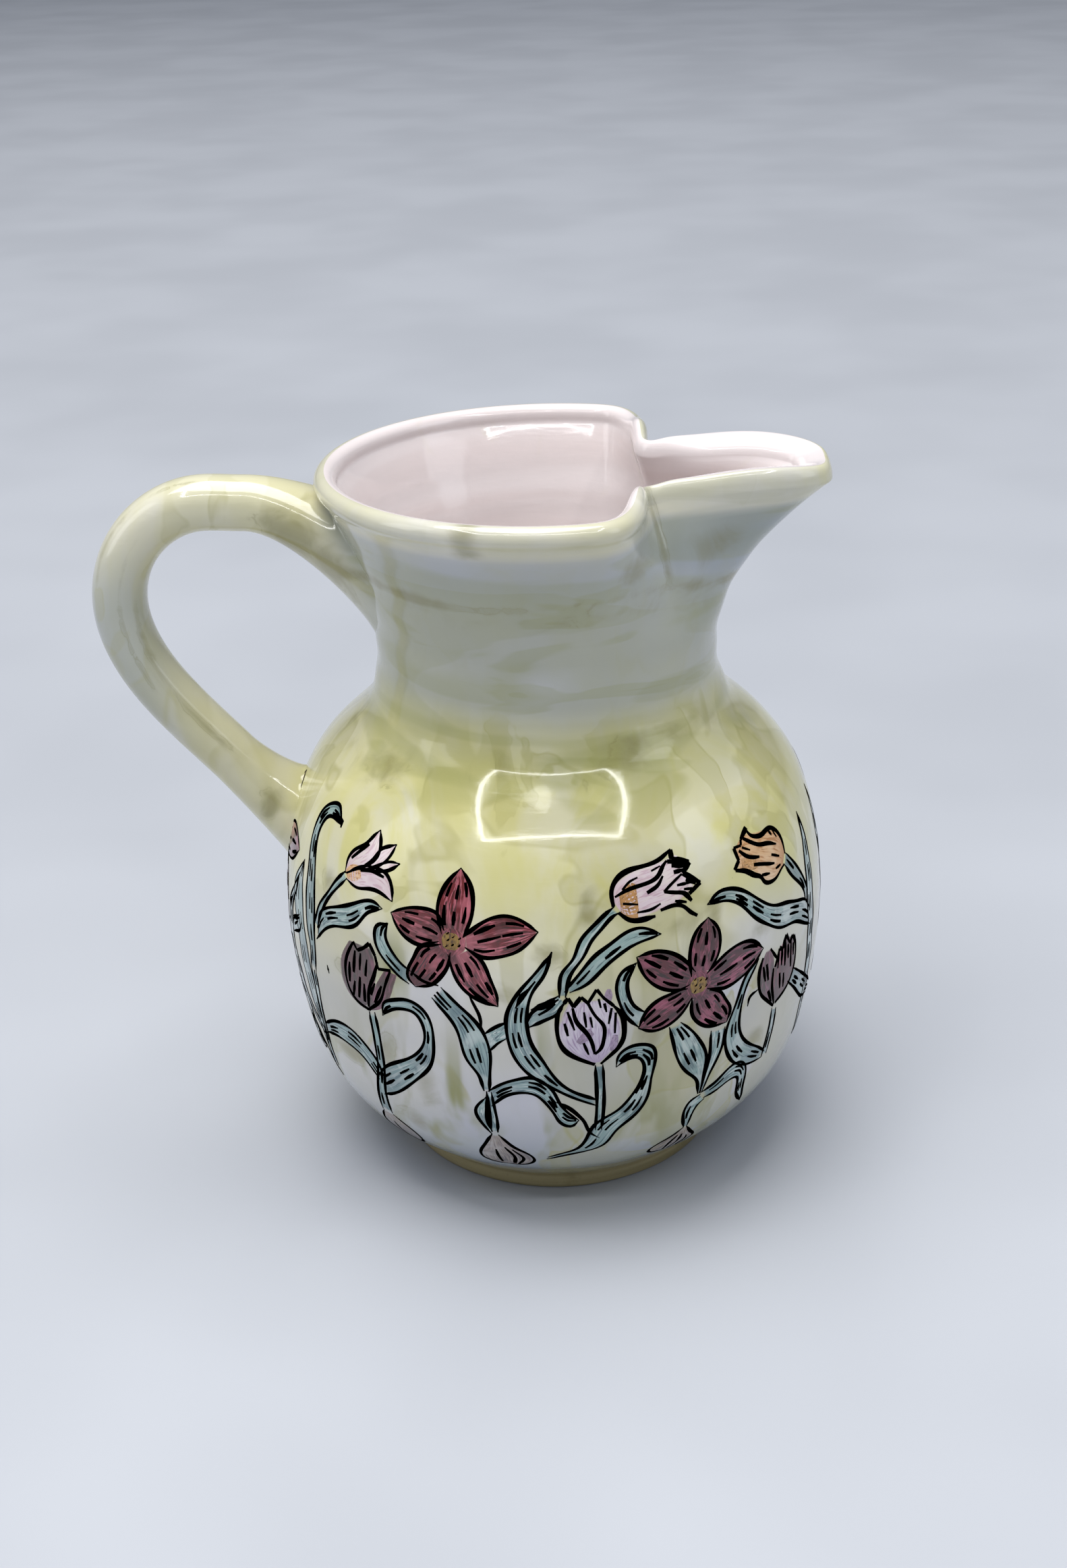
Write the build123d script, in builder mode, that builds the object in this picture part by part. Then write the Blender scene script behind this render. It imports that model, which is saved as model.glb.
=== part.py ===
"""Hand-thrown ceramic pitcher: foot, belly, neck, pulled spout, rolled lip and a looped handle.

Millimetres, +Z up. The origin is the centre of the foot on the ground, on the axis of the belly.
The spout points along +X and the handle loops out along -X.
"""

import os
from math import cos, exp, log, radians, sin

from build123d import *

# Heights
FOOT_HEIGHT = 6.0
FLOOR_TOP = 11.5
NECK_BASE = 132.0  # where the neck is joined to the shoulder of the belly
THROAT = 148.0  # narrowest part of the neck, where the mouth begins to open
LIP_BASE = 190.6
MOUTH_OPEN = 192.0  # the mouth has its full plan from here up
HEIGHT = 196.5  # top of the lip, on the axis
MOUTH_TILT = -0.9  # degrees about X; the thrown rim sits a little lower at the back

# Radii and walls
FOOT_RADIUS = 46.3
FOOT_BORE = 38.0
FOOT_FLARE = 0.8
BELLY_START = 47.7  # radius of the belly where it springs from the foot
THROAT_RADIUS = 45.4
MOUTH_RADIUS = 58.3
BELLY_WALL = 4.6
NECK_WALL = 4.0
LIP_BULGE = 0.9  # the rolled lip stands out this much on both sides of the round mouth's wall
LIP_CROWN = 0.5  # width of the lip's rounded top, as a part of the wall

# Mouth plan: a round mouth, cut off where the spout starts, and joined to a long channel
SPOUT_TURN = -3.0  # degrees; the spout was pulled a little off the handle's line
SPOUT_REACH = 74.3
SPOUT_HALF_WIDTH = 22.6
SPOUT_SQUARENESS = 3.3
MOUTH_CUT = 27.4  # distance from the axis to the flattened side of the round mouth
EAR_ROUNDING = 8.0
NOTCH_ROUNDING = 1.5
NOTCH_ANGLE = 41.0  # the two folds between mouth and spout, each side of the spout's middle

# Shoulder curve that turns the belly into the neck
SHOULDER_SLOPE = (-0.55, 1)
SHOULDER_END = 146.0
SHOULDER_FLARE = 0.0174

# Handle: an oval strap, opening out into wider roots where it is luted to the neck and the belly
STRAP_WIDTH = 15.4
STRAP_THICKNESS = 14.4

# The belly's outer profile from the foot to the neck, as (radius, height)
BELLY_PROFILE = [
    (BELLY_START, FOOT_HEIGHT),
    (62.3, 20.0),
    (72.9, 47.0),
    (75.0, 72.0),
    (71.9, 98.0),
    (58.6, 122.0),
    (48.8, NECK_BASE),
]

# The middle line of the free strap, as (x, height), from the neck end to the belly end
STRAP_LINE = [
    (-78.0, 187.0),
    (-91.0, 187.2),
    (-106.5, 178.5),
    (-113.3, 160.5),
    (-108.3, 142.0),
    (-97.0, 126.0),
    (-87.4, 114.8),
]

# Root sections further along the same line, as (x, height, slope in degrees, width, thickness)
UPPER_ROOT = [(-66.5, 184.0, 26, 22, 16.4), (-55.5, 177.0, 40, 36, 18.4), (-36.0, 158.5, 48, 52, 27)]
LOWER_ROOT = [(-80.3, 106.1, -130, 17.5, 15.8), (-73.6, 98.4, -131, 21, 19.6), (-62.0, 87.0, -135, 32, 33)]

OUTLINE_POINTS = 72
NECK_LEVELS = [NECK_BASE, 137, 142, THROAT, 154, 160, 166, 172, 178, 184, LIP_BASE]
LIP_STEPS = 6


def soft_min(a, b, rounding):
    """The smaller of two radii, with the corner between them rounded off."""
    return min(a, b) - rounding * log(1 + exp(-abs(a - b) / rounding))


def soft_max(a, b, rounding):
    """The larger of two radii, with the corner between them rounded off."""
    return max(a, b) + rounding * log(1 + exp(-abs(a - b) / rounding))


def mouth_radius(angle):
    """Radius of the open mouth's outer edge at an angle, in radians, from the spout's middle."""
    along, across = cos(angle), abs(sin(angle))
    if along < 0.05:
        return MOUTH_RADIUS
    round_mouth = soft_min(MOUTH_RADIUS, MOUTH_CUT / along, EAR_ROUNDING)
    power = SPOUT_SQUARENESS
    channel = ((along / SPOUT_REACH) ** power + (across / SPOUT_HALF_WIDTH) ** power) ** (-1 / power)
    return soft_max(round_mouth, channel, NOTCH_ROUNDING)


def opening(z):
    """How far the mouth has opened at a height, from 0 at the throat to 1."""
    return min(max((z - THROAT) / (MOUTH_OPEN - THROAT), 0), 1) ** 2


def wall_point(degrees, z):
    """A point on the outside of the neck, spout or lip."""
    neck = THROAT_RADIUS + SHOULDER_FLARE * max(SHOULDER_END - z, 0) ** 2
    mouth = mouth_radius(radians(degrees - SPOUT_TURN))
    radius = neck + (mouth - neck) * opening(z)
    return Vector(radius * cos(radians(degrees)), radius * sin(radians(degrees)), 0)


def wall_section(z, inset):
    """The filled outline of the neck at a height, moved inwards by inset(degrees)."""
    points = []
    for step in range(OUTLINE_POINTS):
        degrees = 360 * step / OUTLINE_POINTS
        run = wall_point(degrees + 1, z) - wall_point(degrees - 1, z)
        inward = Vector(-run.Y, run.X, 0).normalized()
        points.append(wall_point(degrees, z) + inward * inset(degrees))
    spacing = [step / OUTLINE_POINTS for step in range(OUTLINE_POINTS + 1)]
    tilt = MOUTH_TILT * max(z - THROAT, 0) / (HEIGHT - THROAT)
    with BuildSketch(Plane.XY.offset(z).rotated((tilt, 0, 0))) as section:
        with BuildLine():
            add(Edge.make_spline(points, periodic=True, parameters=spacing))
        make_face()
    return section.sketch


def wall_sections(levels, inset):
    """Filled outlines at several heights, all moved inwards by the same wall thickness."""
    return [wall_section(z, lambda degrees: inset) for z in levels]


def lip_half_width(degrees, z):
    """Half the lip's thickness: it swells on the round mouth, not on the spout, and closes at the top."""
    rise = min(max((z - LIP_BASE) / (HEIGHT - LIP_BASE), 0), 1)
    from_spout = abs((degrees - SPOUT_TURN + 180) % 360 - 180)
    roundness = min(max((from_spout - NOTCH_ANGLE) / NOTCH_ANGLE, 0), 1)
    swell = LIP_BULGE * roundness * min(3 * rise, 1)
    crown = (1 - LIP_CROWN) * max(2 * rise - 1, 0) ** 3
    return (NECK_WALL / 2 + swell) * (1 - crown)


def oval_section(x, z, slope, width, thickness):
    """An oval across the handle's middle line, which rises from the -X direction by the slope."""
    along = (-cos(radians(slope)), 0, sin(radians(slope)))
    across = Plane(origin=(x, 0, z), x_dir=(0, 1, 0), z_dir=along)
    with BuildSketch(across) as section:
        Ellipse(width / 2, thickness / 2)
    return section.sketch


# Foot: a trimmed ring that the pitcher stands on
with BuildPart() as foot_ring:
    with BuildSketch(Plane.XZ):
        with BuildLine():
            Polyline(
                (FOOT_BORE, 0),
                (FOOT_RADIUS, 0),
                (FOOT_RADIUS + FOOT_FLARE, FOOT_HEIGHT),
                (FOOT_BORE - FOOT_FLARE, FOOT_HEIGHT),
                close=True,
            )
        make_face()
    revolve(axis=Axis.Z)
    fillet(foot_ring.edges().group_by(Axis.Z)[0], 1.0)
foot_ring.part.label = "foot_ring"

# Belly: the round thrown body with its floor. The solid form is kept to trim the handle's root.
with BuildPart() as belly_form:
    with BuildSketch(Plane.XZ):
        with BuildLine() as outer:
            Polyline(BELLY_PROFILE[-1], (0, NECK_BASE), (0, FOOT_HEIGHT), BELLY_PROFILE[0])
            wall_line = Spline(*BELLY_PROFILE, tangents=[(1, 0.85), SHOULDER_SLOPE])
        make_face()
    revolve(axis=Axis.Z)

with BuildPart() as belly:
    add(belly_form.part)
    with BuildSketch(Plane.XZ):
        with BuildLine():
            inner = []
            for step in range(3, 10):
                along = wall_line % (step / 10)
                inner.append((wall_line @ (step / 10)) + Vector(-along.Y, along.X) * BELLY_WALL)
            floor_edge = (FOOT_BORE, FLOOR_TOP)
            top_edge = (BELLY_PROFILE[-1][0] - NECK_WALL, NECK_BASE)
            Spline(floor_edge, *inner, top_edge, tangents=[(1, 0.1), SHOULDER_SLOPE])
            Polyline(top_edge, (0, NECK_BASE), (0, FLOOR_TOP), floor_edge)
        make_face()
    revolve(axis=Axis.Z, mode=Mode.SUBTRACT)
belly.part.label = "belly"

# Neck and spout share one continuous wall, cut apart along the two folds beside the spout
with BuildPart() as neck_form:
    loft(wall_sections(NECK_LEVELS, 0))

with BuildPart() as neck_wall:
    add(neck_form.part)
    loft(wall_sections([NECK_BASE - 1, *NECK_LEVELS[1:-1], LIP_BASE + 1], NECK_WALL), mode=Mode.SUBTRACT)

with BuildPart() as spout_wedge:
    with BuildSketch(Plane.XY.offset(THROAT)):
        with BuildLine():
            side = Vector(2 * SPOUT_REACH, 0)
            left = side.rotate(Axis.Z, SPOUT_TURN + NOTCH_ANGLE)
            right = side.rotate(Axis.Z, SPOUT_TURN - NOTCH_ANGLE)
            Polyline((0, 0), right, left, close=True)
        make_face()
    extrude(amount=HEIGHT - THROAT)

with BuildPart() as neck:
    add(neck_wall.part)
    add(spout_wedge.part, mode=Mode.SUBTRACT)
neck.part.label = "neck"

with BuildPart() as spout:
    add(neck_wall.part)
    add(spout_wedge.part, mode=Mode.INTERSECT)
spout.part.label = "spout"

# Lip: one rolled bead that runs round the mouth and out along both sides of the spout
with BuildPart() as rolled_lip:
    lip_step = (HEIGHT - LIP_BASE) / LIP_STEPS
    lip_levels = [LIP_BASE + lip_step * step for step in range(LIP_STEPS + 1)]
    loft([wall_section(z, lambda d: NECK_WALL / 2 - lip_half_width(d, z)) for z in lip_levels])
    bore_levels = [LIP_BASE - lip_step, *lip_levels, HEIGHT + lip_step]
    bore = [wall_section(z, lambda d: NECK_WALL / 2 + lip_half_width(d, z)) for z in bore_levels]
    loft(bore, mode=Mode.SUBTRACT)
rolled_lip.part.label = "rolled_lip"

# Handle: the free strap, then a root at each end that spreads onto the pot
with BuildPart() as handle:
    with BuildLine(Plane.XZ) as strap_line:
        Spline(*STRAP_LINE)
    start = strap_line.line
    with BuildSketch(Plane(origin=start @ 0, x_dir=(0, 1, 0), z_dir=start % 0)):
        Ellipse(STRAP_WIDTH / 2, STRAP_THICKNESS / 2)
    sweep(path=strap_line.line)
handle.part.label = "handle"


def root_sections(place, direction, root):
    """The strap's own end section, followed by the wider sections of a root."""
    with BuildSketch(Plane(origin=place, x_dir=(0, 1, 0), z_dir=direction)) as end:
        Ellipse(STRAP_WIDTH / 2, STRAP_THICKNESS / 2)
    return [end.sketch] + [oval_section(*section) for section in root]


with BuildPart() as handle_neck_root:
    loft(root_sections(start @ 0, start % 0, UPPER_ROOT))
    add(neck_form.part, mode=Mode.SUBTRACT)
    add(belly_form.part, mode=Mode.SUBTRACT)
    add(rolled_lip.part, mode=Mode.SUBTRACT)
handle_neck_root.part.label = "handle_neck_root"

with BuildPart() as handle_belly_root:
    loft(root_sections(start @ 1, start % 1, LOWER_ROOT))
    add(belly_form.part, mode=Mode.SUBTRACT)
handle_belly_root.part.label = "handle_belly_root"

os.makedirs("parts", exist_ok=True)
export_step(foot_ring.part, "parts/foot_ring.step")
export_step(belly.part, "parts/belly.step")
export_step(neck.part, "parts/neck.step")
export_step(spout.part, "parts/spout.step")
export_step(rolled_lip.part, "parts/rolled_lip.step")
export_step(handle.part, "parts/handle.step")
export_step(handle_neck_root.part, "parts/handle_neck_root.step")
export_step(handle_belly_root.part, "parts/handle_belly_root.step")
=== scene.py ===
from math import atan2, cos, pi, radians, sin

import bpy
import numpy as np
from mathutils import Matrix, Vector


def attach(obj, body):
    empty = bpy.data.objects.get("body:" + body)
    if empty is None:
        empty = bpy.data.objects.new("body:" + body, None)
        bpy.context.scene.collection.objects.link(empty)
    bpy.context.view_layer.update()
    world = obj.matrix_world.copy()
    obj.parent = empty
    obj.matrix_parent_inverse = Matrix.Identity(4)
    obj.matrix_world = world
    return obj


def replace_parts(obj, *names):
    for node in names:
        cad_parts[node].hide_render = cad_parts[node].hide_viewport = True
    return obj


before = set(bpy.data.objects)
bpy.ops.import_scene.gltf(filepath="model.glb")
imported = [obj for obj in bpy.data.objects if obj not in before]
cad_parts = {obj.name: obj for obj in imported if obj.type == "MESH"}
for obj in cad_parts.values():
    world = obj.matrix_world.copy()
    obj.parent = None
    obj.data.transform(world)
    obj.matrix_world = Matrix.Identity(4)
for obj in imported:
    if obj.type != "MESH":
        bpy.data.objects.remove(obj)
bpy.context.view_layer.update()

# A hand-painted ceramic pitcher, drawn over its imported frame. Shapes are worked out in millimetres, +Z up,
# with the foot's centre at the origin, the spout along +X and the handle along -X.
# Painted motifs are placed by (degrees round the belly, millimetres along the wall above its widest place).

MM = 0.001

# Heights and radii of the thrown body
FOOT_HEIGHT = 6.0
FLOOR_TOP = 11.5
EQUATOR = 72.0
NECK_BASE = 132.0
THROAT = 148.0
LIP_BASE = 190.6
MOUTH_OPEN = 192.0
HEIGHT = 196.5
MOUTH_TILT = -0.9
FOOT_RADIUS = 46.3
FOOT_BORE = 38.0
THROAT_RADIUS = 45.4
MOUTH_RADIUS = 58.3
NECK_WALL = 4.0
BELLY_PROFILE = [(6, 47.7), (20, 62.3), (47, 72.9), (72, 75.0), (98, 71.9), (122, 58.6), (132, 48.8)]
INNER_PROFILE = [(44.8, 132), (54.4, 120.5), (67.3, 97.3), (70.4, 72), (68.2, 48), (58, 22.5), (46, 14),
                 (30, 11.8), (0.5, FLOOR_TOP)]
SHOULDER_END = 146.0
SHOULDER_FLARE = 0.0174

# Mouth plan and lip
SPOUT_TURN = -3.0
SPOUT_REACH = 74.3
SPOUT_HALF_WIDTH = 22.6
SPOUT_SQUARENESS = 3.3
MOUTH_CUT = 28.6
EAR_ROUNDING = 11.0
NOTCH_ROUNDING = 1.3
NOTCH_ANGLE = 41.0
LIP_BULGE = 0.9
LIP_CROWN_HEIGHT = 3.0
LIP_SIDE = 0.22
LIP_GROWTH = 22.0
SPOUT_SHELF = 4.8

# Handle
STRAP_WIDTH = 15.4
STRAP_THICKNESS = 14.4
STRAP_LINE = [(-78, 187), (-91, 187.2), (-106.5, 178.5), (-113.3, 160.5), (-108.3, 142), (-97, 126),
              (-87.4, 114.8)]

# Fineness of the meshes
COLUMNS = 480
BELLY_ROWS = 96
NECK_ROWS = 49
LIP_STEPS = 26
INNER_ROWS = 70
FOOT_COLUMNS = 240
STRAP_ROWS = 110
ROOT_ROWS = 26
SECTION_POINTS = 64


# ---------------------------------------------------------------- curves and the thrown wall

def clamped_spline(xs, ys, start, end):
    """A smooth curve through points, as a function of x, with a given slope at each end."""
    xs, ys = np.array(xs, float), np.array(ys, float)
    gap, rise = np.diff(xs), np.diff(ys)
    system, right = np.eye(len(xs)), np.zeros(len(xs))
    right[0], right[-1] = start, end
    for i in range(1, len(xs) - 1):
        system[i, i - 1:i + 2] = 1 / gap[i - 1], 2 / gap[i - 1] + 2 / gap[i], 1 / gap[i]
        right[i] = 3 * (rise[i - 1] / gap[i - 1] ** 2 + rise[i] / gap[i] ** 2)
    slopes = np.linalg.solve(system, right)

    def at(x):
        i = np.clip(np.searchsorted(xs, x) - 1, 0, len(xs) - 2)
        t = (x - xs[i]) / gap[i]
        return (ys[i] * (1 + 2 * t) * (1 - t) ** 2 + ys[i + 1] * t * t * (3 - 2 * t)
                + gap[i] * t * (1 - t) * (slopes[i] * (1 - t) - slopes[i + 1] * t))

    return at


def distances(points):
    """The distance travelled along a line of points, at each point."""
    return np.concatenate([[0], np.cumsum(np.linalg.norm(np.diff(points, axis=0), axis=1))])


def curve_through(points, count):
    """Evenly spaced points of a smooth curve through a few given points, in any number of dimensions."""
    points = np.array(points, float)
    steps = np.linalg.norm(np.diff(points, axis=0), axis=1)
    place = np.concatenate([[0], np.cumsum(steps)])
    first, last = (points[1] - points[0]) / steps[0], (points[-1] - points[-2]) / steps[-1]
    lines = [clamped_spline(place, points[:, k], first[k], last[k]) for k in range(points.shape[1])]
    fine = np.linspace(0, place[-1], 8 * count)
    path = np.stack([line(fine) for line in lines], -1)
    travelled = distances(path)
    even = np.linspace(0, travelled[-1], count)
    return np.stack([np.interp(even, travelled, path[:, k]) for k in range(points.shape[1])], -1)


def smooth_step(value, low, high):
    t = np.clip((value - low) / (high - low), 0, 1)
    return t * t * (3 - 2 * t)


def hill(value, middle, width):
    """1 where a value is at the middle, falling smoothly to 0 on both sides."""
    return np.exp(-((value - middle) / width) ** 2)


def soft_min(a, b, rounding):
    return np.minimum(a, b) - rounding * np.log1p(np.exp(-np.abs(a - b) / rounding))


def soft_max(a, b, rounding):
    return np.maximum(a, b) + rounding * np.log1p(np.exp(-np.abs(a - b) / rounding))


belly_radius = clamped_spline(*zip(*BELLY_PROFILE), 1 / 0.85, -0.55)


def mouth_radius(angle):
    """Radius of the open mouth's outer edge at angles, in radians, from the spout's middle."""
    along, across = np.cos(angle), np.abs(np.sin(angle))
    forward = np.maximum(along, 0.05)
    round_mouth = soft_min(MOUTH_RADIUS, MOUTH_CUT / forward, EAR_ROUNDING)
    power = SPOUT_SQUARENESS
    channel = ((forward / SPOUT_REACH) ** power + (across / SPOUT_HALF_WIDTH) ** power) ** (-1 / power)
    return np.where(along < 0.05, MOUTH_RADIUS, soft_max(round_mouth, channel, NOTCH_ROUNDING))


def throwing_rings(angle, z):
    """The faint spiral ridges that fingers leave on a turning pot, stronger on the neck."""
    strength = 0.05 + 0.11 * smooth_step(z, 118, 140) * (1 - smooth_step(z, 180, 190))
    slow = 0.35 * np.sin(2 * angle + 0.7) + 0.2 * np.sin(3 * angle + z / 31)
    return strength * (np.sin(z / 1.9 + angle) + 0.6 * np.sin(z / 4.1 - angle + 1)) + slow * 0.5


def wall_radius(angle, z):
    """Radius of the outer wall at angles, in radians, and heights from the foot to the lip."""
    open_part = np.clip((z - THROAT) / (MOUTH_OPEN - THROAT), 0, 1) ** 2
    neck = THROAT_RADIUS + SHOULDER_FLARE * np.maximum(SHOULDER_END - z, 0) ** 2
    neck = neck + (mouth_radius(angle - radians(SPOUT_TURN)) - neck) * open_part
    belly = belly_radius(np.minimum(z, NECK_BASE))
    steady = smooth_step(z, FOOT_HEIGHT, 16) * (1 - open_part)
    return np.where(z < NECK_BASE, belly, neck) + throwing_rings(angle, z) * steady


def from_spout(angle):
    """Degrees between a direction and the spout's middle, from 0 to 180."""
    turned = np.degrees(angle) - SPOUT_TURN
    return np.abs((turned + 180) % 360 - 180)


def rim_lift(angle):
    """How far the rim stands above its level: it arches along the spout and dips at the two folds."""
    away = from_spout(angle)
    return 1.8 * hill(away, 19, 9) - 1.3 * hill(away, 39, 4) + 1.5 * hill(away, 50, 6)


def wall_point(angle, z, inset=0.0):
    """Points of the wall, moved inwards by an inset along the plan normal, in the leaning, lifted mouth."""
    angle, z, inset = np.broadcast_arrays(np.asarray(angle, float), np.asarray(z, float), inset)

    def plan(a):
        radius = wall_radius(a, z)
        return radius * np.cos(a), radius * np.sin(a)

    x, y = plan(angle)
    ahead, behind = plan(angle + 0.008), plan(angle - 0.008)
    run_x, run_y = ahead[0] - behind[0], ahead[1] - behind[1]
    length = np.hypot(run_x, run_y)
    x, y = x - run_y / length * inset, y + run_x / length * inset
    rise = np.clip((z - THROAT) / (HEIGHT - THROAT), 0, 1.1)
    lean = np.radians(MOUTH_TILT) * rise
    return np.stack([x, y * np.cos(lean), z + y * np.sin(lean) + rim_lift(angle) * rise ** 2], -1)


# ---------------------------------------------------------------- meshes

def grid_normals(points):
    """Unit normals of a grid of points, rows by columns, whose columns close on themselves."""
    down = np.gradient(points, axis=0)
    across = np.roll(points, -1, axis=1) - np.roll(points, 1, axis=1)
    normal = np.cross(across, down)
    length = np.linalg.norm(normal, axis=-1, keepdims=True)
    return normal / np.maximum(length, 1e-9)


def make_piece(name, points, faces, material, normals, values=None):
    """A mesh object from points in millimetres, riding on the pitcher's one body."""
    mesh = bpy.data.meshes.new(name)
    mesh.from_pydata((np.asarray(points) * MM).tolist(), [], faces)
    mesh.validate()
    mesh.polygons.foreach_set("use_smooth", [True] * len(mesh.polygons))
    for label, numbers in (values or {}).items():
        layer = mesh.attributes.new(label, "FLOAT", "POINT")
        layer.data.foreach_set("value", np.asarray(numbers, np.float32).ravel())
    mesh.normals_split_custom_set_from_vertices(normals.tolist())
    mesh.materials.append(material)
    piece = bpy.data.objects.new(name, mesh)
    bpy.context.scene.collection.objects.link(piece)
    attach(piece, "root")
    return piece


def quads(rows, columns, keep):
    """Faces between neighbouring rows and columns of a closed grid where keep(row, column) is true."""
    faces = []
    for i in range(rows - 1):
        for j in range(columns):
            if keep(i, j):
                k = (j + 1) % columns
                faces.append((i * columns + j, i * columns + k, (i + 1) * columns + k,
                              (i + 1) * columns + j))
    return faces


def cut_out(points, normals, faces, values):
    """Only the points that the faces use, with the faces renumbered."""
    used = np.unique([v for face in faces for v in face])
    number = np.zeros(len(points), int)
    number[used] = np.arange(len(used))
    renumbered = [tuple(number[list(face)].tolist()) for face in faces]
    return points[used], renumbered, normals[used], {k: v[used] for k, v in values.items()}


# ---------------------------------------------------------------- materials

def rgb(*screen):
    """A colour given as 0-255 values on a screen, as the linear colour that a shader takes."""
    return tuple(((c / 255 + 0.055) / 1.055) ** 2.4 if c > 10 else c / 255 / 12.92 for c in screen) + (1,)


class Shader:
    """One material's node tree, with short names for the few kinds of node that it needs."""

    def __init__(self, name, roughness, **settings):
        self.material = bpy.data.materials.new(name)
        self.material.use_nodes = True
        self.tree = self.material.node_tree
        self.surface = self.tree.nodes["Principled BSDF"]
        self.surface.inputs["Roughness"].default_value = roughness
        for label, value in settings.items():
            self.surface.inputs[label.replace("_", " ")].default_value = value
        self.place = self.tree.nodes.new("ShaderNodeTexCoord").outputs["Object"]

    def put(self, socket, value):
        if isinstance(value, bpy.types.NodeSocket):
            self.tree.links.new(value, socket)
        else:
            socket.default_value = value

    def mix(self, factor, first, second):
        node = self.tree.nodes.new("ShaderNodeMix")
        node.data_type = "RGBA"
        for index, value in ((0, factor), (6, first), (7, second)):
            self.put(node.inputs[index], value)
        return node.outputs[2]

    def math(self, how, first, second=0.0, third=0.0):
        node = self.tree.nodes.new("ShaderNodeMath")
        node.operation = how
        for socket, value in zip(node.inputs, (first, second, third)):
            self.put(socket, value)
        return node.outputs[0]

    def stretch(self, x, y, z, offset=(0, 0, 0)):
        node = self.tree.nodes.new("ShaderNodeMapping")
        node.inputs["Scale"].default_value = (x, y, z)
        node.inputs["Location"].default_value = offset
        self.put(node.inputs["Vector"], self.place)
        return node.outputs[0]

    def noise(self, scale, detail=3, distortion=0.0, vector=None, roughness=0.5):
        node = self.tree.nodes.new("ShaderNodeTexNoise")
        self.put(node.inputs["Vector"], vector or self.place)
        for label, value in (("Scale", scale), ("Detail", detail), ("Distortion", distortion),
                             ("Roughness", roughness)):
            node.inputs[label].default_value = value
        return node.outputs["Fac"]

    def cells(self, scale):
        node = self.tree.nodes.new("ShaderNodeTexVoronoi")
        self.put(node.inputs["Vector"], self.place)
        node.inputs["Scale"].default_value = scale
        return node.outputs["Distance"]

    def ramp(self, value, low, high, start=0.0, end=1.0):
        node = self.tree.nodes.new("ShaderNodeMapRange")
        node.interpolation_type = "SMOOTHSTEP"
        self.put(node.inputs[0], value)
        for index, number in ((1, low), (2, high), (3, start), (4, end)):
            node.inputs[index].default_value = number
        return node.outputs[0]

    def band(self, value, middle, width):
        """1 where a value is near the middle, falling to 0 on both sides."""
        return self.ramp(self.math("ABSOLUTE", self.math("SUBTRACT", value, middle)), 0, width, 1, 0)

    def attribute(self, name, scale=None):
        """One of the values that a mesh carries at its points, times a scale if there is one."""
        node = self.tree.nodes.new("ShaderNodeAttribute")
        node.attribute_name = name
        return self.math("MULTIPLY", node.outputs["Fac"], scale) if scale else node.outputs["Fac"]

    def finish(self, colour, bumps=()):
        """Joins the colour and any (height, distance in millimetres) bumps to the surface."""
        self.put(self.surface.inputs["Base Color"], colour)
        normal = None
        for height, distance in bumps:
            node = self.tree.nodes.new("ShaderNodeBump")
            node.inputs["Distance"].default_value = distance * MM
            self.put(node.inputs["Height"], height)
            if normal:
                self.put(node.inputs["Normal"], normal)
            normal = node.outputs[0]
        if normal:
            self.put(self.surface.inputs["Normal"], normal)
        return self.material


def brushed_washes(shader, ground):
    """Transparent yellow-green washes with drying rims, and long level sweeps of the brush on the neck."""
    for scale, level, offset in ((15, 0.53, 0.0), (21, 0.56, 0.37), (32, 0.58, 0.81)):
        brushed = shader.noise(scale, 3, 0.9, shader.stretch(1, 1, 0.75, (offset, offset * 2, offset)))
        stain = shader.ramp(brushed, level, level + 0.025, 0, 0.3)
        rim = shader.band(brushed, level + 0.018, 0.016)
        broken = shader.noise(2.2 * scale, 2, 0, shader.stretch(1, 1, 1, (0, offset, 1)))
        broken = shader.math("MULTIPLY", shader.ramp(broken, 0.45, 0.7), 0.32)
        amount = shader.math("MULTIPLY_ADD", rim, broken, stain)
        ground = shader.mix(shader.math("MULTIPLY", amount, shader.attribute("wash")), ground,
                            rgb(172, 166, 98))
    for scale, level, offset in ((9, 0.5, 0.2), (14, 0.54, 0.6), (24, 0.58, 0.9)):
        level_marks = shader.stretch(0.75, 0.75, 3.4, (offset, offset, offset))
        swept = shader.noise(scale, 2.5, 0.5, level_marks, 0.55)
        sweep = shader.math("MAXIMUM", shader.ramp(swept, level, level + 0.05, 0, 0.26),
                            shader.ramp(swept, level + 0.1, level + 0.13, 0, 0.4))
        ground = shader.mix(shader.math("MULTIPLY", sweep, shader.attribute("sweep")), ground,
                            rgb(146, 148, 82))
    return ground


def olive_marks(shader, ground, drag):
    """Upright brush marks, soft olive patches with darker rims, and fine specks."""
    upright = shader.noise(75, 3, 0.5, shader.stretch(1, 1, 0.16, (0.5, 0.2, 0)))
    upright = shader.math("MULTIPLY", shader.ramp(upright, 0.48, 0.62), shader.attribute("drip"))
    ground = shader.mix(upright, ground, rgb(148, 148, 96))
    ragged = shader.math("MULTIPLY_ADD", shader.noise(70, 5, 1.4), 1.2, -0.6)
    olive = shader.math("ADD", shader.attribute("olive"), ragged)
    rim = shader.math("MULTIPLY", shader.band(olive, 0.42, 0.07), shader.ramp(drag, 0.45, 0.62, 0, 0.35))
    patch = shader.math("MAXIMUM", shader.ramp(olive, 0.2, 0.95, 0, 0.6), rim)
    ground = shader.mix(patch, ground, rgb(126, 120, 68))
    speck = shader.ramp(shader.cells(150), 0.035, 0.02)
    speck = shader.math("MULTIPLY", speck, shader.ramp(shader.noise(40, 1), 0.58, 0.7, 0, 0.6))
    return shader.mix(speck, ground, rgb(112, 104, 66))


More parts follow.
